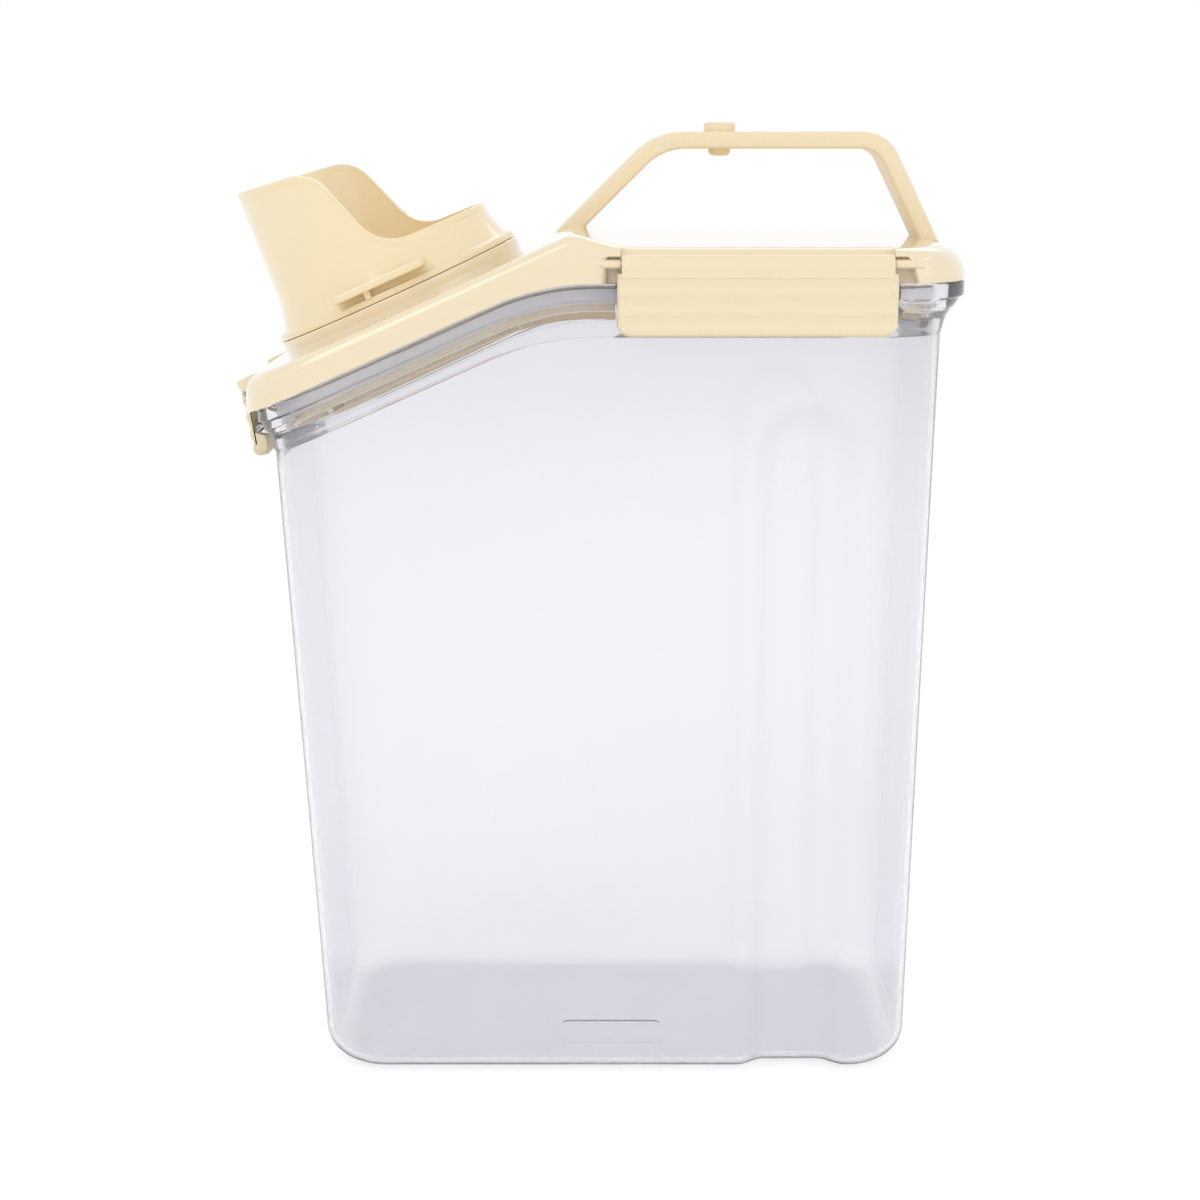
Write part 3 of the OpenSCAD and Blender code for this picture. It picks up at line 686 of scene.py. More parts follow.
@dataclass
class Station:
    """One column of a wall that runs round a plan: on a long side, an end or a corner."""

    turn: float
    along: Optional[float] = None
    share: Optional[float] = None

    def point(self, plan: Plan) -> Point2:
        """Returns the station's place on a plan."""
        r = plan.corner_r
        c, s = math.cos(self.turn), math.sin(self.turn)
        x_centre = plan.back - r if c > 0 else r - plan.front
        y_centre = (plan.half_depth - r) * (1 if s > 0 else -1)
        if self.along is not None:
            return (self.along, y_centre + r * s)
        if self.share is not None:
            return (x_centre + r * c, (plan.half_depth - r) * self.share)
        return (x_centre + r * c, y_centre + r * s)


def stations(side_xs: Sequence[float], end_count: int, corner_degs: Sequence[float]) -> list[Station]:
    """Lists the stations round a plan, starting at the middle of the back end.

    Args:
        side_xs: Places along a long side, from front to back.
        end_count: Number of stretches in an end.
        corner_degs: Angles in a corner, from the end's direction to the side's.

    Returns:
        The stations, anticlockwise seen from above.
    """
    nudge = 1e-6
    up = math.pi / 2
    shares = [-1 + 2 * i / end_count for i in range(1, end_count)]
    corner = [math.radians(d) for d in corner_degs]
    back_end = [Station(0.0, share=s) for s in shares]
    back_far = [Station(max(nudge, a)) if a < up else Station(up - nudge) for a in corner]
    far = [Station(up, along=x) for x in reversed(side_xs)]
    front_far = [Station(math.pi - a + (-nudge if a == 0 else nudge if a == up else 0))
                 for a in reversed(corner)]
    front_end = [Station(math.pi, share=s) for s in reversed(shares)]
    front_near = [Station(math.pi + a + (nudge if a == 0 else -nudge if a == up else 0))
                  for a in corner]
    near = [Station(-up, along=x) for x in side_xs]
    back_near = [Station(-a + (-nudge if a == 0 else nudge if a == up else 0))
                 for a in reversed(corner)]
    return back_end + back_far + far + front_far + front_end + front_near + near + back_near


@dataclass
class Tub:
    """Clear tub with its rim, stepped collar, catches and grip grooves."""

    front_reach: float = 113.3
    back_reach: float = 113.6
    half_depth: float = 57.5
    front_draft: float = 2.8
    back_draft: float = 0.7
    side_draft: float = 1.85
    wall: float = 2.2
    floor: float = 2.6
    corner_r: float = 24.0
    base_r: float = 12.0
    rim_rise: float = 4.5
    groove_x: float = 68.3
    groove_r: float = 19.8
    groove_floor_r: float = 10.5
    groove_depth: float = 5.5
    groove_z: float = 243.0
    collar_front: float = 130.4
    taper_depth: float = 19.0
    room_y: float = 68.8
    room_half: float = SIDE_LATCH_W / 2 + 0.45
    stations: list[Station] = field(default_factory=list)

    def plan_at(self, z: float) -> Plan:
        """Returns the tub's outer plan at a height."""
        return Plan(self.front_reach + z * math.tan(math.radians(self.front_draft)),
                    self.back_reach + z * math.tan(math.radians(self.back_draft)),
                    self.half_depth + z * math.tan(math.radians(self.side_draft)),
                    self.corner_r)

    def collar_plan(self) -> Plan:
        """Returns the plan of the collar, flush with the lid."""
        return Plan(self.collar_front, LID_BACK, LID_HALF_DEPTH, LID_CORNER_R)

    def groove(self, x: float, z: float) -> float:
        """Returns how deep a grip groove is at a place on a long side."""
        reach = math.hypot(x - self.groove_x, max(0.0, z - self.groove_z))
        t = (self.groove_r + 1.0 - reach) / (self.groove_r + 1.0 - self.groove_floor_r)
        return self.groove_depth * smooth_step(t)

    def ring(self, inset: float, level: Callable[[float], float], collar: float = 0.0) -> list[Point3]:
        """Draws one ring of the wall.

        Args:
            inset: How far the ring is set in.
            level: The ring's height for each place along the length.
            collar: How much of the collar's plan it takes, from 0 to 1.

        Returns:
            The points of the ring.
        """
        points: list[Point3] = []
        for station in self.stations:
            z = level(0.0)
            for _ in range(4):
                plan = self.plan_at(z).blend(self.collar_plan(), collar).inset(inset)
                x, y = station.point(plan)
                z = level(x)
            if collar == 0.0:
                y -= math.copysign(self.groove(x, z), y) * math.sin(station.turn) ** 8
            elif abs(x - LATCH_X) < self.room_half:
                y = max(-self.room_y, min(self.room_y, y))
            points.append((x, y, z))
        return points

    def wall_levels(self, low: float, top_drop: float) -> list[Callable[[float], float]]:
        """Returns the heights of the rings between the base rounding and the collar."""
        flats = [low + 1.0, 24.0, 40.0] + [40.0 + 20.0 * i for i in range(1, 10)]
        flats += [224.0 + 2.2 * i for i in range(20)] + [272.0, 278.0]
        span = FLAT_RIM_Z - top_drop - low

        def level(flat: float) -> Callable[[float], float]:
            share = (flat - low) / span
            return lambda x: low + share * (RIM.at(x) - top_drop - low)

        return [level(z) for z in flats]

    def shell(self) -> bmesh.types.BMesh:
        """Builds the tub's wall, inside and outside, with the collar."""
        side_xs = [-84.0 + 8.0 * i for i in range(10)] + [-0.75, -0.45] + [5.0 + 8 * i for i in range(5)]
        side_xs += [43.0 + 1.8 * i for i in range(26)]
        self.stations = stations(side_xs, 10, [0, 12, 24, 36, 48, 60, 70, 77, 83.8, 84.3, 90])
        rings: list[list[Point3]] = []
        turns = [math.radians(a) for a in (0, 15, 30, 45, 60, 75, 90)]
        for a in turns:
            z = self.base_r * (1 - math.cos(a))
            rings.append(self.ring(self.base_r * (1 - math.sin(a)), lambda x, z=z: z))
        for level in self.wall_levels(self.base_r, self.taper_depth):
            rings.append(self.ring(0.0, level))
        below = lambda drop: (lambda x: RIM.at(x) - drop)
        for drop, share in ((19.0, 0.0), (18.4, 0.04), (16.5, 0.09), (15.1, 0.13), (13.5, 0.19),
                            (12.3, 0.24), (12.2, 0.26), (11.95, 0.29), (10.5, 0.40), (9.3, 0.52),
                            (9.2, 0.55), (8.95, 0.59), (7.4, 0.70), (6.1, 0.78), (6.0, 0.82),
                            (5.75, 0.87), (5.2, 0.96), (4.5, 1.0), (0.4, 1.0)):
            rings.append(self.ring(0.0, below(drop), share))
        for drop, inset in ((0.1, 0.3), (0.0, 0.8)):
            rings.append(self.ring(inset, below(drop), 1.0))
        rings.append(self.ring(0.0, below(0.0)))
        rings.append(self.ring(0.0, below(0.3 - self.rim_rise)))
        rings.append(self.ring(0.4, below(-self.rim_rise)))
        rings.append(self.ring(self.wall - 0.4, below(-self.rim_rise)))
        rings.append(self.ring(self.wall, below(0.4 - self.rim_rise)))
        rings.append(self.ring(self.wall, below(self.taper_depth)))
        inner_r = self.base_r - self.wall
        low = self.floor + inner_r
        for level in reversed(self.wall_levels(low, self.taper_depth)):
            rings.append(self.ring(self.wall, level))
        for a in reversed(turns):
            z = self.floor + inner_r * (1 - math.cos(a))
            rings.append(self.ring(self.wall + inner_r * (1 - math.sin(a)), lambda x, z=z: z))
        return loft(rings)

    def catches(self) -> list[bmesh.types.BMesh]:
        """Builds the ledges that the latches hook under."""
        outline = rounded([(-0.5, -12.9, 0.4), (-0.5, -15.4, 0.4), (2.7, -16.7, 0), (6.5, -16.7, 0),
                           (6.5, -12.9, 0)], 3)
        made = []
        for side, width in ((Side.NEAR, SIDE_LATCH_W), (Side.FAR, SIDE_LATCH_W), (Side.FRONT, FRONT_LATCH_W)):
            bar = prism(outline, -(width - 1) / 2, (width - 1) / 2, 0.3)
            along = Matrix.Rotation(math.pi / 2, 4, "Z") @ Matrix.Rotation(math.pi / 2, 4, "X")
            made.append(moved(bar, latch_frame(side) @ along))
        return made

    def floor_mark(self) -> bmesh.types.BMesh:
        """Builds the plain shallow recess in the tub's floor."""
        x0, x1, y0, y1, r = -21.0, 18.0, -33.0, -12.0, 2.5
        outline = rounded([(x0, y0, r), (x1, y0, r), (x1, y1, r), (x0, y1, r)], 5)
        depth = 0.5
        above = 3.0
        return prism(outline, self.floor - depth, self.floor + above)

    def build(self) -> None:
        """Builds and dresses the tub."""
        tub = as_object(gathered([self.shell(), *self.catches()]), "clear_tub", 28.0)
        carved(tub, [], [self.floor_mark()], 28.0)
        place(tub, Body.CONTAINER, ["tub"], "clear_body", CLEAR_BODY.material())


@dataclass
class Lid:
    """Glossy lid with its neck, sealing wall, latch pockets and hinge ears."""

    edge_r: float = 4.0
    shoulder_r: float = 11.0
    skin: float = 2.2
    crown: float = 0.6
    neck_r: float = 49.4
    mouth_r: float = 43.4
    neck_h: float = 4.9
    neck_depth: float = 8.0
    plug_inset: float = 2.5
    plug_wall: float = 1.8
    plug_depth: float = 8.0
    ear_r: float = 1.55
    side_reach: float = 8.8
    front_reach: float = 8.0
    visor_reach: float = 139.2
    pocket_lip: float = 5.6
    pocket_lip_y: float = 70.9
    pocket_lip_rise: float = 4.4
    pocket_slant: float = 0.37
    cove_y: float = 75.9
    cove_z: float = 311.0
    cove_h: float = 3.2

    def end_x(self, y: float) -> tuple[float, float]:
        """Returns where the lid's plan starts and ends at a distance from the middle."""
        over = max(0.0, abs(y) - (LID_HALF_DEPTH - LID_CORNER_R))
        cut = LID_CORNER_R - math.sqrt(max(0.0, LID_CORNER_R ** 2 - over ** 2))
        return (-LID_FRONT + cut, LID_BACK - cut)

    def height(self, x: float, y: float) -> float:
        """Returns the height of the lid's top at a place, with its edges rounded."""
        core_y = LID_HALF_DEPTH - LID_CORNER_R
        dy = max(0.0, abs(y) - core_y)
        front = max(0.0, -(x + LID_FRONT - LID_CORNER_R))
        back = max(0.0, x - (LID_BACK - LID_CORNER_R))
        dx = front + back
        gap = LID_CORNER_R - math.hypot(dx, dy)
        share = back / max(1e-6, math.hypot(dx, dy))
        r = lerp(self.edge_r, self.shoulder_r, smooth_step(share))
        drop = 0.0
        if gap < r:
            drop = r - math.sqrt(max(0.0, r * r - (r - gap) ** 2))
        bow = self.crown * (y / LID_HALF_DEPTH) ** 2
        return LID_TOP.at(x) - bow - drop

    def top_skin(self) -> bmesh.types.BMesh:
        """Builds the lid's outer skin, open below."""
        offs = [0.0, 0.2, 0.7, 1.5, 2.6, 4.0, 6.5, 10.0, 14.0, 18.0]
        back_offs = [0.0, 0.2, 0.8, 1.8, 3.2, 5.0, 7.0, 9.0, 11.0, 14.0, 18.0]
        middle = [-84.0 + 9.0 * i for i in range(7)] + [-24.0 + 1.5 * i for i in range(22)]
        middle += [14.0 + 10.0 * i for i in range(7)]
        edge = offs + [23.0, 30.0]
        ys = [-LID_HALF_DEPTH + d for d in edge] + [-36.0 + 9.0 * i for i in range(9)]
        ys += [LID_HALF_DEPTH - d for d in reversed(edge)]
        count_x = len(offs) + len(middle) + len(back_offs)
        bm = bmesh.new()
        bmesh.ops.create_grid(bm, x_segments=count_x - 1, y_segments=len(ys) - 1, size=1.0)
        for vert in bm.verts:
            i = round((vert.co.x + 1) / 2 * (count_x - 1))
            j = round((vert.co.y + 1) / 2 * (len(ys) - 1))
            y = ys[j]
            first, last = self.end_x(y)
            if i < len(offs):
                x = first + offs[i]
            elif i < len(offs) + len(middle):
                x = middle[i - len(offs)]
            else:
                x = last - back_offs[count_x - 1 - i]
            vert.co = (x, y, self.height(x, y))
        edges = [e for e in bm.edges if e.is_boundary]
        for share in (0.5, 0.96, 1.0):
            out = bmesh.ops.extrude_edge_only(bm, edges=edges)["geom"]
            verts = {item for item in out if isinstance(item, bmesh.types.BMVert)}
            for vert in verts:
                low = RIM.at(vert.co.x) + PARTING_GAP
                vert.co.z = lerp(self.height(vert.co.x, vert.co.y), low, share)
            edges = [item for item in out
                     if isinstance(item, bmesh.types.BMEdge) and set(item.verts) <= verts]
        bmesh.ops.recalc_face_normals(bm, faces=bm.faces)
        return bm

    def sealing_wall(self) -> bmesh.types.BMesh:
        """Builds the wall under the lid that carries the gasket."""
        tub = Tub()
        plan = tub.plan_at(RIM.at(-tub.front_reach) - self.plug_depth)
        plan.back = tub.plan_at(FLAT_RIM_Z).back
        outer = plan.inset(tub.wall + self.plug_inset)
        inner = outer.inset(self.plug_wall)
        ring_stations = stations([-84.0 + 6.0 * i for i in range(29)], 8, [0, 15, 30, 45, 60, 75, 90])

        def ring(shape: Plan, level: Callable[[float], float]) -> list[Point3]:
            points = [s.point(shape) for s in ring_stations]
            return [(x, y, level(x)) for x, y in points]

        low = lambda x: RIM.at(x) - self.plug_depth
        high = lambda x: LID_TOP.at(x) - 1.4
        rings = [ring(outer, low), ring(outer, high), ring(inner, high), ring(inner, low), ring(outer, low)]
        return loft(rings, caps=False)

    def neck(self) -> bmesh.types.BMesh:
        """Builds the round neck that the cup stands in."""
        top = self.neck_h
        tube = self.mouth_r + 2.2
        profile = [(self.mouth_r, -self.neck_depth), (tube, -self.neck_depth), (tube, -1.2),
                   (self.neck_r - 0.2, -1.2), (self.neck_r - 0.6, 0.4), (self.neck_r - 0.5, 1.4),
                   (self.neck_r, top - 0.9), (self.neck_r, top - 0.4), (self.neck_r - 0.12, top - 0.12),
                   (self.neck_r - 0.4, top), (self.mouth_r + 0.5, top), (self.mouth_r, top - 0.5)]
        return moved(turned(profile, 128, closed=True), slope_frame())

    def side_pocket_wall(self, x: float) -> float:
        """Returns how far from the middle a side pocket's wall is, with its ends curved outwards."""
        half = SIDE_LATCH_W / 2 + POCKET_GAP
        over = abs(x - LATCH_X) - half
        if over < 0:
            return HINGE_Y - SWING_R
        inwards = 1.0 - over / self.pocket_lip
        drop = 1.0 - math.sqrt(max(0.0, 1.0 - inwards ** 2))
        return self.pocket_lip_y + self.pocket_lip_rise * (1.0 - drop)

    def side_cutter(self, sign: int) -> bmesh.types.BMesh:
        """Builds the space of a side pocket, whose ends curve out to the lid's side.

        Args:
            sign: -1 for the near side and 1 for the far side.

        Returns:
            The cutter.
        """
        half = SIDE_LATCH_W / 2 + POCKET_GAP
        open_half = SIDE_LATCH_W / 2 - 1.2
        shares = (1.0, 0.97, 0.9, 0.8, 0.68, 0.55, 0.4, 0.25, 0.12, 0.004)
        ends = [half + self.pocket_lip * share for share in shares] + [half - 0.02, open_half + 0.02]
        inner = [x - LATCH_X for x in (3.0, 5.0, LATCH_X)]
        places = [-x for x in ends] + [-open_half, *inner, open_half] + list(reversed(ends))
        rings = []
        for offset in places:
            x = LATCH_X + offset
            wall_y = self.side_pocket_wall(x)
            top = self.height(x, 0.0) - self.crown * (wall_y / LID_HALF_DEPTH) ** 2
            turns = [math.radians(15.0 * i) for i in range(7)]
            if abs(offset) > open_half:
                arc = [(lerp(wall_y, self.cove_y, 1 - math.cos(t)), self.cove_z + self.cove_h * math.sin(t))
                       for t in turns]
                line = [(wall_y + 20.0, 285.0), (wall_y, 285.0), *arc, (self.cove_y + 5.0, self.cove_z + 2.0),
                        (wall_y + 20.0, self.cove_z + 1.0)]
            else:
                arc = [(wall_y - self.edge_r * (1 - math.cos(t)), top - self.edge_r * (1 - math.sin(t)))
                       for t in turns]
                line = [(wall_y + 20.0, 285.0), (wall_y, 285.0), *arc, (wall_y - self.edge_r, 330.0),
                        (wall_y + 20.0, 330.0)]
            lean = self.pocket_slant if offset > open_half else 0.0
            rings.append([(x + lean * (HINGE_Z + 2.0 - z), sign * y, z) for y, z in line])
        return loft(rings)

    def pocket_cutter(self, side: Side) -> bmesh.types.BMesh:
        """Builds the space of a latch pocket."""
        if side is Side.FRONT:
            half = FRONT_LATCH_W / 2 + POCKET_GAP
            return moved(block((-half, -60.0, -60.0), (half, SWING_R, 60.0)), latch_frame(side))
        return self.side_cutter(-1 if side is Side.NEAR else 1)

    def pocket_walls(self, side: Side) -> list[bmesh.types.BMesh]:
        """Builds the blocks that a latch pocket is cut from."""
        skin = 1.4
        if side is Side.FRONT:
            half = FRONT_LATCH_W / 2 + POCKET_GAP + skin
            low = RIM.at(-LID_FRONT) + PARTING_GAP
            return [block((-LID_FRONT + 1.0, -half, low + 0.4),
                          (-FRONT_HINGE_X + SWING_R + skin + 0.8, half, low + 9.0))]
        half = SIDE_LATCH_W / 2 + POCKET_GAP
        low = FLAT_RIM_Z + PARTING_GAP
        sign = 1 if side is Side.FAR else -1
        inner = HINGE_Y - SWING_R - skin
        ys = sorted((-sign * inner, -sign * HINGE_Y))
        first = LATCH_X - half - self.pocket_lip - skin
        tops = [(x, LID_TOP.at(x) - 1.2) for x in (first, -9.0, -5.0, -1.0, 3.0, 8.0, LATCH_X + half)]
        long_block = across(prism([(first, low), (LATCH_X + half, low), *reversed(tops)], *ys))
        curve = [(x, self.side_y(x) - 0.9) for x in (99.0, 102.0, 105.0, 108.0, 111.0, 113.0)]
        plan = [(x, sign * y) for x, y in [*curve, (113.0, inner - 3.0), (99.0, inner)]]
        return [outward(long_block), prism(plan, low, TOP_Z - 3.2)]

    def side_y(self, x: float) -> float:
        """Returns the distance of the lid's side from the middle at a place along the length."""
        over = max(0.0, abs(x - (LID_BACK - LID_FRONT) / 2) - ((LID_BACK + LID_FRONT) / 2 - LID_CORNER_R))
        return LID_HALF_DEPTH - LID_CORNER_R + math.sqrt(max(0.0, LID_CORNER_R ** 2 - over ** 2))

    def ears(self) -> list[bmesh.types.BMesh]:
        """Builds the round ears that carry the hinge pins."""
        made = []
        for side, width, reach in ((Side.NEAR, SIDE_LATCH_W, self.side_reach),
                                   (Side.FAR, SIDE_LATCH_W, self.side_reach),
                                   (Side.FRONT, FRONT_LATCH_W, self.front_reach)):
            inner = width / 2 - 1.3
            outer = width / 2 + reach
            r = self.ear_r
            for sign in (-1, 1):
                ends = sorted((sign * inner, sign * outer))
                profile = [(0, ends[0]), (r - 0.3, ends[0]), (r, ends[0] + 0.3), (r, ends[1] - 0.3),
                           (r - 0.3, ends[1]), (0, ends[1])]
                along = Matrix.Rotation(math.pi / 2, 4, "Y")
                made.append(moved(turned(profile, 32), latch_frame(side) @ along))
        return made

    def brackets(self) -> list[bmesh.types.BMesh]:
        """Builds the brackets that carry the front hinge."""
        half = FRONT_LATCH_W / 2 + self.front_reach
        inner = FRONT_LATCH_W / 2 + POCKET_GAP
        reach = self.visor_reach
        top = LID_TOP.at
        outline = rounded([(-reach, top(-reach) - 0.2, 0.6), (-130.0, top(-130.0) - 0.25, 0),
                           (-130.0, FRONT_HINGE_Z - 2.2, 0), (-FRONT_HINGE_X - 1.0, FRONT_HINGE_Z - 2.2, 0.9),
                           (-FRONT_HINGE_X - 1.9, FRONT_HINGE_Z + 1.6, 0.9),
                           (-reach, top(-reach) - 2.4, 0.6)], 4)
        made = []
        for sign in (-1, 1):
            ends = sorted((sign * inner, sign * half))
            made.append(across(prism(outline, ends[0], ends[1], 0.4)))
        return made

    def build(self) -> None:
        """Builds and dresses the lid."""
        lid = as_object(self.top_skin(), "glossy_lid")
        shell = lid.modifiers.new("skin", "SOLIDIFY")
        shell.thickness = self.skin * MM
        shell.offset = -1.0
        shell.use_even_offset = True
        settle(lid)
        hole = moved(turned([(0, -20), (self.mouth_r + 0.8, -20), (self.mouth_r + 0.8, 20), (0, 20)], 96),
                     slope_frame())
        walls = [wall for s in Side for wall in self.pocket_walls(s)]
        carved(lid, walls, [self.pocket_cutter(s) for s in Side] + [hole])
        lid = place(lid, Body.LID, ["lid"], "cream_gloss", CREAM_GLOSS.material())
        fittings = as_object(gathered([self.neck(), self.sealing_wall(), *self.ears(), *self.brackets()]),
                             "lid_fittings")
        place(fittings, Body.LID, ["lid"], "cream_gloss", CREAM_GLOSS.material())


@dataclass
class Cup:
    """Measuring cup with a scooped rim, a flange, a plug and two finger tabs."""

    seat: float = 5.1
    flange_r: float = 48.6
    flange_t: float = 2.5
    foot_r: float = 46.0
    waist_r: float = 42.3
    tip_r: float = 39.7
    waist_z: float = 22.0
    tip_z: float = 56.6
    turn_deg: float = -5.0
    wall: float = 1.8
    plug_r: float = 41.6
    plug_h: float = 12.0
    steps: int = 160
    rows: int = 32
    lip: float = 0.2
    lip_w: float = 2.3
    lip_rows: int = 14

    def outer_r(self, z: float) -> float:
        """Returns the outer radius of the wall at a height."""
        if z >= self.waist_z:
            return lerp(self.waist_r, self.tip_r, (z - self.waist_z) / (self.tip_z - self.waist_z))
        rise = self.waist_z - self.flange_t
        step = self.foot_r - self.waist_r
        sweep = (rise * rise + step * step) / (2 * step)
        return self.waist_r + sweep - math.sqrt(sweep * sweep - (self.waist_z - z) ** 2)

    def scoop(self) -> SideLine:
        """Returns the rim's line seen from the side."""
        corners = [(-60.0, 59.2), (-3.0, 51.7), (9.3, 17.1), (60.0, 15.675)]
        line = [corners[0], *bend(corners[0], corners[1], corners[2], 14.0, 14),
                *bend(corners[1], corners[2], corners[3], 16.0, 14), corners[3]]
        return SideLine(line)

    def row_height(self, t: float, low: float, top: float) -> float:
        """Returns the height of a row of the wall: even below the lip, and close together in it."""
        lip_share = self.lip_rows / self.rows
        lip_low = top - self.lip_w - 1.0
        if t <= 1 - lip_share:
            return lerp(low, lip_low, t / (1 - lip_share))
        return lerp(lip_low, top, (t - 1 + lip_share) / lip_share)

    def wall_mesh(self) -> bmesh.types.BMesh:
        """Builds the scooped wall: turned as a plain tube, then drawn up to the rim's line."""
        last = self.rows
        profile = [(2.0, float(i)) for i in range(last + 1)] + [(1.0, float(i)) for i in range(last, -1, -1)]
        bm = turned(profile, self.steps, closed=True)
        rim = self.scoop()
        for vert in bm.verts:
            even = math.atan2(vert.co.y, vert.co.x)
            outer = math.hypot(vert.co.x, vert.co.y) > 1.5
            t = vert.co.z / last
            turn = even + 0.27 * math.sin(2 * even)
            top = 30.0
            for _ in range(6):
                top = rim.at(self.outer_r(top) * math.cos(turn))
            low = self.flange_t - 0.6
            z = self.row_height(t, low, top)
            from_top = top - z
            bead = self.lip * smooth_step((self.lip_w + 0.35 - from_top) / 0.7)
            bead -= self.lip * (1 - math.sqrt(1 - max(0.0, 1 - from_top / 0.6) ** 2))
            r = self.outer_r(z) + bead if outer else self.outer_r(z) - self.wall - 0.3 * bead
            turn += math.radians(self.turn_deg)
            vert.co = (r * math.cos(turn), r * math.sin(turn), z)
        return outward(bm)

    def plug_mesh(self) -> bmesh.types.BMesh:
        """Builds the flange and the closed plug below it."""
        groove = 0.6
        inner = self.plug_r - groove - self.wall
        profile = [(0, -self.plug_h), (self.plug_r - 1, -self.plug_h), (self.plug_r - 0.3, 0.3 - self.plug_h),
                   (self.plug_r, 1 - self.plug_h), (self.plug_r, -8), (self.plug_r - groove, -8),
                   (self.plug_r - groove, -5), (self.plug_r, -5), (self.plug_r, 0),
                   (self.flange_r - 0.3, 0), (self.flange_r - 0.08, 0.08), (self.flange_r, 0.3),
                   (self.flange_r, self.flange_t - 0.7), (self.flange_r - 0.2, self.flange_t - 0.2),
                   (self.flange_r - 0.7, self.flange_t), (self.foot_r + 0.3, self.flange_t),
                   (self.foot_r - 0.5, self.flange_t + 0.8), (self.foot_r - self.wall, self.flange_t + 0.8),
                   (inner, 1.0), (inner, 4 - self.plug_h), (inner - 0.6, 2.6 - self.plug_h),
                   (inner - 2, 2 - self.plug_h), (0, 2 - self.plug_h)]
        return turned(profile, 128)

    def tab(self, sign: int) -> list[bmesh.types.BMesh]:
        """Builds one finger tab with its rib, on the side given by the sign."""
        half = 18.0
        reach = 52.0
        foot = 39.5
        outline = rounded([(-half, foot, 0), (-half, reach, 3.0), (half, reach, 3.0), (half, foot, 0)], 6)
        plate = prism([(x, sign * y) for x, y in outline], 5.1, 8.1, 0.7)
        ys = sorted((sign * foot, sign * 49.0))
        rib = block((-6.5, ys[0], self.flange_t - 0.3), (-4.3, ys[1], 5.6), 0.2)
        return [plate, rib]

    def build(self) -> None:
        """Builds and dresses the cup."""
        parts = [self.wall_mesh(), self.plug_mesh(), *self.tab(1), *self.tab(-1)]
        for bm in parts[2:]:
            bmesh.ops.recalc_face_normals(bm, faces=bm.faces)
        frame = slope_frame(self.seat)
        cup = as_object(gathered([moved(bm, frame) for bm in parts]), "pour_cup", 38.0)
        place(cup, Body.CUP, ["cup"], "cream_satin", CREAM_CUP.material())


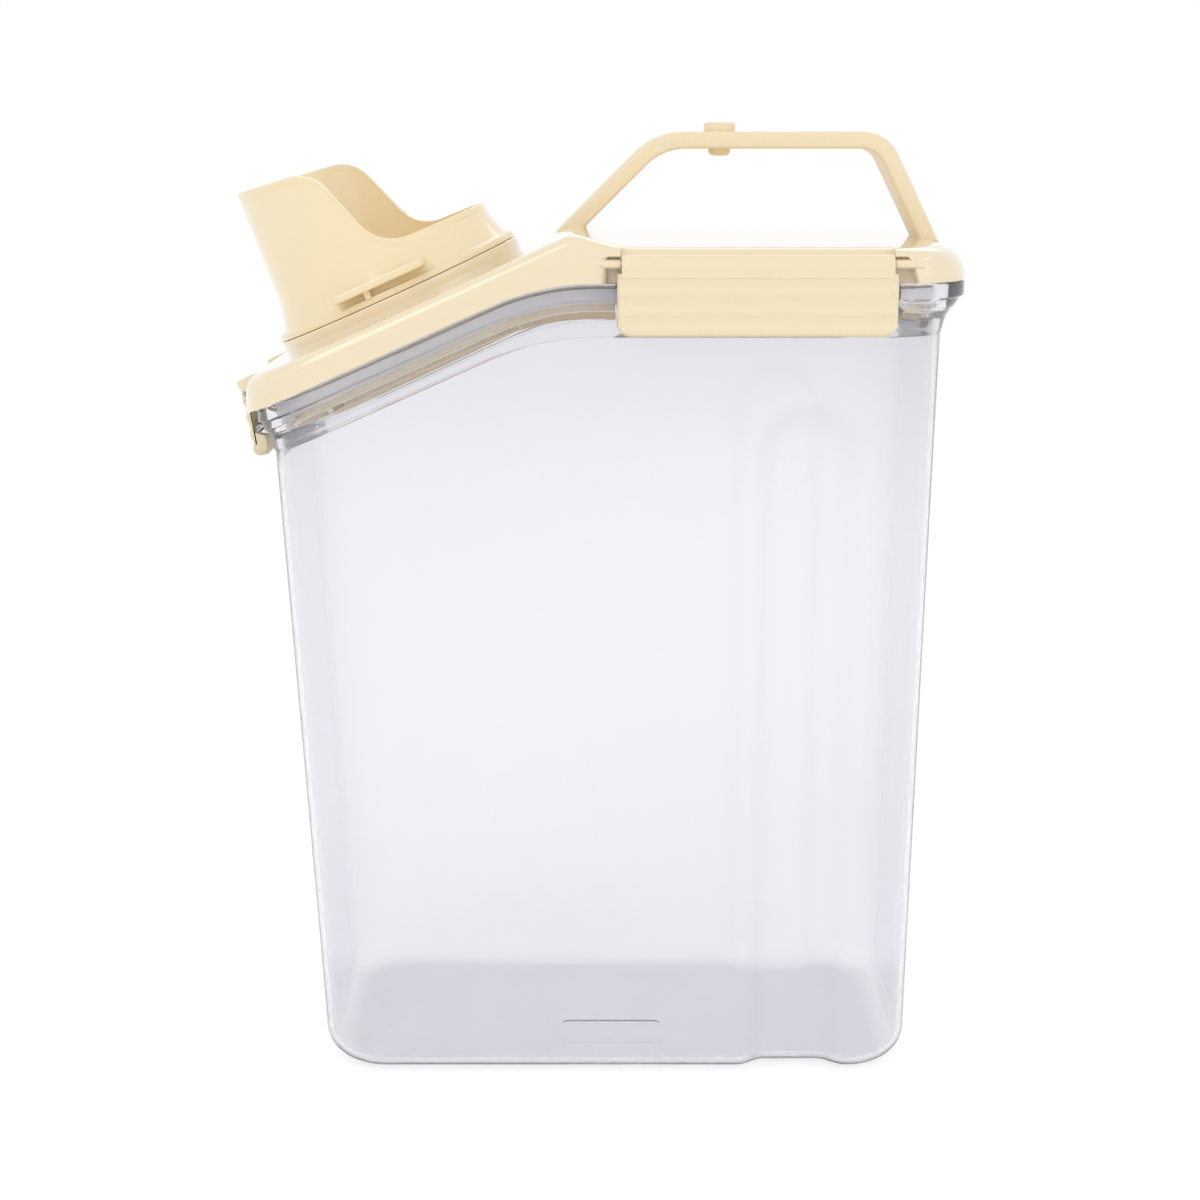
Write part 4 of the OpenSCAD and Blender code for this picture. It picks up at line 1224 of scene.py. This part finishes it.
@dataclass
class Latch:
    """A clip latch: barrel round the pin, ribbed plate and hook."""

    side: Side
    width: float
    body: Body
    shoulder_step: float = 1.7
    barrel_r: float = 3.3
    shoulder_z: float = -3.7
    length: float = 25.0
    face: float = 3.6
    back: float = 1.2
    hook: float = 2.6
    corner_r: float = 5.0
    edge_r: float = 1.8
    groove_top: float = 6.7
    groove_pitch: float = 6.5
    groove_count: int = 3
    groove_depth: float = 0.55
    groove_half: float = 2.9
    groove_flank: float = 2.0

    def face_y(self, z: float) -> float:
        """Returns how far out the ribbed face is at a height."""
        dip = 0.0
        for i in range(self.groove_count):
            away = abs(z + self.groove_top + i * self.groove_pitch)
            share = smooth_step((self.groove_half - away) / self.groove_flank)
            dip = max(dip, self.groove_depth * share)
        return -self.face + dip

    def section(self) -> list[Point2]:
        """Returns the plate's section, anticlockwise seen along +X."""
        low = -self.length
        count = 44
        face = [(self.face_y(z), z) for z in
                (lerp(self.shoulder_z - 0.6, low + 2.0, i / count) for i in range(count + 1))]
        toe = bend((-self.face, self.shoulder_z), (-self.face, low), (self.hook, low), 2.0, 5)
        heel = bend((-self.face, low), (self.hook, low), (self.hook, -15.0), 2.4, 5)
        inside = [(self.hook, -17.2), (self.hook - 0.3, -17.0), (-self.back, -15.5),
                  (-self.back, self.shoulder_z + 0.5), (-self.face + 0.5, self.shoulder_z + 0.5),
                  (-self.face, self.shoulder_z)]
        return inside[4:] + face[:-1] + toe + heel + inside[:4]

    def plate(self) -> bmesh.types.BMesh:
        """Builds the ribbed plate as slices along its width."""
        line = self.section()
        count = len(line)
        normals = []
        for i in range(count):
            step = Vector(line[(i + 1) % count]) - Vector(line[i - 1])
            normals.append(Vector((step.y, -step.x)).normalized())
        half = self.width / 2
        turns = [math.radians(a) for a in (0, 25, 50, 70, 90)]
        ends = [(half - self.edge_r * (1 - math.sin(a)), self.edge_r * (1 - math.cos(a))) for a in turns]
        inner = [(half - self.corner_r + self.corner_r * math.sin(math.radians(a)), 0.0)
                 for a in (0, 15, 30, 42)]
        right = inner + [e for e in ends if e[0] > inner[-1][0] + 0.05]
        slices = [(-x, r) for x, r in reversed(right)] + right
        rings = []
        for x, shrink in slices:
            over = max(0.0, abs(x) - (half - self.corner_r))
            rise = self.corner_r - math.sqrt(max(0.0, self.corner_r ** 2 - over ** 2))
            ring = []
            for (y, z), n in zip(line, normals):
                if z < -19.0:
                    z = -19.0 + (z + 19.0) * (6.0 - rise) / 6.0
                amount = shrink if n.x < -0.2 else 0.2 * shrink
                ring.append((x, y - n.x * amount, z - n.y * amount))
            rings.append(ring)
        return loft(rings)

    def barrel(self) -> bmesh.types.BMesh:
        """Builds the barrel round the pin with the root of the plate."""
        half = self.width / 2 - self.shoulder_step
        arc = [(self.barrel_r * math.cos(t), self.barrel_r * math.sin(t))
               for t in (math.radians(-60.0 + 10.0 * i) for i in range(25))]
        outline = arc + [(-self.face + 0.12, -0.6), (-self.face, -1.6), (-self.face, -4.6),
                         (-self.back, -4.6), (-self.back, -3.4)]
        bar = prism(outline, -half, half, 0.35)
        along = Matrix.Rotation(math.pi / 2, 4, "Z") @ Matrix.Rotation(math.pi / 2, 4, "X")
        return moved(bar, along)

    def build(self) -> None:
        """Builds and dresses the latch."""
        frame = latch_frame(self.side)
        meshes = [moved(bm, frame) for bm in (self.plate(), self.barrel())]
        latch = as_object(gathered(meshes), f"{self.side.value}_clip", 30.0)
        node = f"{self.side.value}_latch"
        place(latch, self.body, [node], "cream_satin", CREAM_SATIN.material())


@dataclass
class Handle:
    """Rigid carry handle with its stepped stud."""

    grip_z: float = 356.0
    front_x: float = 14.9
    back_x: float = 100.4
    front_deg: float = 44.5
    back_deg: float = 63.3
    strap: float = 6.2
    depth: float = 26.0
    front_bend: float = 27.0
    back_bend: float = 15.0
    round_r: float = 1.3
    stud_x: float = 38.8
    foot_z: float = TOP_Z - 1.5

    def corner_in(self, corner: Vector, leg: Vector, along: Vector, angle: float) -> Vector:
        """Returns the inner corner of the strap behind an outer one."""
        return corner + (along + leg).normalized() * self.strap / math.sin(math.radians((180 - angle) / 2))

    def outline(self) -> list[Point2]:
        """Returns the strap seen from the side."""
        front_leg = Vector((-math.cos(math.radians(self.front_deg)), -math.sin(math.radians(self.front_deg))))
        back_leg = Vector((math.cos(math.radians(self.back_deg)), -math.sin(math.radians(self.back_deg))))
        front = Vector((self.front_x, self.grip_z))
        back = Vector((self.back_x, self.grip_z))
        front_in = self.corner_in(front, front_leg, Vector((1, 0)), self.front_deg)
        back_in = self.corner_in(back, back_leg, Vector((-1, 0)), self.back_deg)

        def foot(corner: Vector, leg: Vector) -> Vector:
            return corner + leg * (corner.y - self.foot_z) / -leg.y

        ends = [foot(front, front_leg), foot(back, back_leg), foot(back_in, back_leg),
                foot(front_in, front_leg)]
        return rounded([(*ends[0], 0), (*front, self.front_bend), (*back, self.back_bend), (*ends[1], 0),
                        (*ends[2], 0), (*back_in, self.back_bend - self.strap),
                        (*front_in, self.front_bend - self.strap), (*ends[3], 0)], 12)

    def build(self) -> None:
        """Builds and dresses the handle and its stud."""
        strap = across(prism(self.outline(), -self.depth / 2, self.depth / 2, self.round_r, 4))
        bmesh.ops.recalc_face_normals(strap, faces=strap.faces)
        handle = as_object(strap, "carry_handle", 35.0)
        place(handle, Body.LID, ["handle"], "cream_satin", CREAM_SATIN.material())
        under = -self.strap
        profile = [(0, under - 2.7), (2.4, under - 2.7), (3.3, under - 2.4), (3.85, under - 1.9),
                   (4.15, under - 1.1), (4.15, under + 0.1), (2.9, under + 0.1), (2.9, -0.1), (5.6, -0.1),
                   (5.9, 0.2), (5.9, 2.0), (5.75, 2.7), (5.3, 3.2), (4.6, 3.4), (3.2, 3.4), (2.9, 3.15),
                   (0, 3.1)]
        stud = moved(turned(profile, 48), Matrix.Translation((self.stud_x, 0.0, self.grip_z)))
        place(as_object(stud, "grip_stud"), Body.LID, ["handle_stud"], "cream_satin", CREAM_SATIN.material())


@dataclass
class SmallParts:
    """The pins and seals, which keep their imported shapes."""

    pins: tuple[str, ...] = ("near_latch_pin", "far_latch_pin", "front_latch_pin")
    seals: tuple[str, ...] = ("lid_gasket", "cup_seal")

    def dress(self, frame: dict) -> None:
        """Gives the kept nodes their materials.

        Args:
            frame: The loaded frame.
        """
        for names, material in ((self.pins, PIN_STEEL.material()), (self.seals, SILICONE.material())):
            for name in names:
                node = frame["nodes"][name]
                for slot in node.material_slots:
                    slot.material = material
                LOG.info("%s keeps its packed shape", name)


@dataclass
class Studio:
    """Camera, floor, backdrop and lamps."""

    camera_at: Point3 = (-0.006, -0.7891, 0.3577)
    pitch_deg: float = 13.0
    focal_share: float = 2050.0 / 1200.0
    sensor: float = 36.0
    world_light: float = 0.76

    def camera(self) -> None:
        """Places the camera where the photograph was taken from."""
        data = bpy.data.cameras.new("camera")
        data.sensor_width = self.sensor
        data.lens = self.sensor * self.focal_share
        camera = bpy.data.objects.new("camera", data)
        camera.location = self.camera_at
        camera.rotation_euler = (math.radians(90.0 - self.pitch_deg), 0.0, 0.0)
        bpy.context.scene.collection.objects.link(camera)
        bpy.context.scene.camera = camera
        bpy.context.scene.view_settings.view_transform = "Standard"

    def world(self) -> None:
        """Makes the world white to the eye and softer as a light."""
        world = bpy.data.worlds.new("studio")
        bpy.context.scene.world = world
        world.use_nodes = True
        nodes = world.node_tree.nodes
        link = world.node_tree.links.new
        ground = nodes["Background"]
        ground.inputs["Color"].default_value = (1.0, 1.0, 1.0, 1.0)
        link(seen_directly(world.node_tree, self.world_light, 1.0), ground.inputs["Strength"])

    def floor(self) -> None:
        """Lays a plain white floor that keeps the object's shadow."""
        bm = bmesh.new()
        bmesh.ops.create_grid(bm, x_segments=1, y_segments=1, size=3000.0)
        floor = as_object(bm, "floor")
        floor.location.z = -0.0002
        material = bpy.data.materials.new("floor")
        material.use_nodes = True
        shader = material.node_tree.nodes["Principled BSDF"]
        shader.inputs["Base Color"].default_value = (0.92, 0.92, 0.92, 1.0)
        shader.inputs["Roughness"].default_value = 0.9
        shader.inputs["Specular IOR Level"].default_value = 0.1
        shader.inputs["Emission Color"].default_value = (1.0, 1.0, 1.0, 1.0)
        material.node_tree.links.new(seen_directly(material.node_tree, 0.0, 0.3),
                                     shader.inputs["Emission Strength"])
        floor.data.materials.append(material)

    def lamp(self, name: str, at: Point3, aim: Point3, size: float, power: float) -> None:
        """Hangs one soft square lamp.

        Args:
            name: Name of the lamp.
            at: Where it hangs.
            aim: What it points at.
            size: Length of its side.
            power: Its power in watts.
        """
        data = bpy.data.lights.new(name, "AREA")
        data.size = size
        data.energy = power
        lamp = bpy.data.objects.new(name, data)
        lamp.location = at
        lamp.rotation_euler = (Vector(aim) - Vector(at)).to_track_quat("-Z", "Y").to_euler()
        bpy.context.scene.collection.objects.link(lamp)

    def lamps(self) -> None:
        """Hangs the lamps of a soft studio."""
        middle = (0.0, 0.0, 0.2)
        self.lamp("key", (-0.9, -1.3, 1.3), middle, 1.0, 6.5)
        self.lamp("fill", (1.2, -1.0, 0.7), middle, 1.0, 3.0)
        self.lamp("back", (0.3, 1.2, 1.4), middle, 1.0, 3.0)


def seen_directly(tree: bpy.types.NodeTree, other: float, seen: float) -> bpy.types.NodeSocket:
    """Returns a value that is one thing to the eye, in mirrors and through glass, and another else.

    Args:
        tree: The node tree that takes the nodes.
        other: The value for all other rays.
        seen: The value for camera, glossy and transmission rays.

    Returns:
        The socket that carries the value.
    """
    rays = tree.nodes.new("ShaderNodeLightPath")
    first = tree.nodes.new("ShaderNodeMath")
    first.operation = "MAXIMUM"
    second = tree.nodes.new("ShaderNodeMath")
    second.operation = "MAXIMUM"
    level = tree.nodes.new("ShaderNodeMapRange")
    level.inputs["To Min"].default_value = other
    level.inputs["To Max"].default_value = seen
    tree.links.new(rays.outputs["Is Camera Ray"], first.inputs[0])
    tree.links.new(rays.outputs["Is Glossy Ray"], first.inputs[1])
    tree.links.new(first.outputs[0], second.inputs[0])
    tree.links.new(rays.outputs["Is Transmission Ray"], second.inputs[1])
    tree.links.new(second.outputs[0], level.inputs["Value"])
    return level.outputs["Result"]


def main() -> None:
    """Builds the container and its studio."""
    logging.basicConfig(level=logging.INFO, format="%(name)s: %(message)s")
    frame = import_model()
    studio = Studio()
    studio.camera()
    studio.world()
    studio.floor()
    studio.lamps()
    Tub().build()
    Lid().build()
    Cup().build()
    Latch(Side.NEAR, SIDE_LATCH_W, Body.NEAR).build()
    Latch(Side.FAR, SIDE_LATCH_W, Body.FAR).build()
    Latch(Side.FRONT, FRONT_LATCH_W, Body.FRONT).build()
    Handle().build()
    SmallParts().dress(frame)


if __name__ == "__main__":
    main()
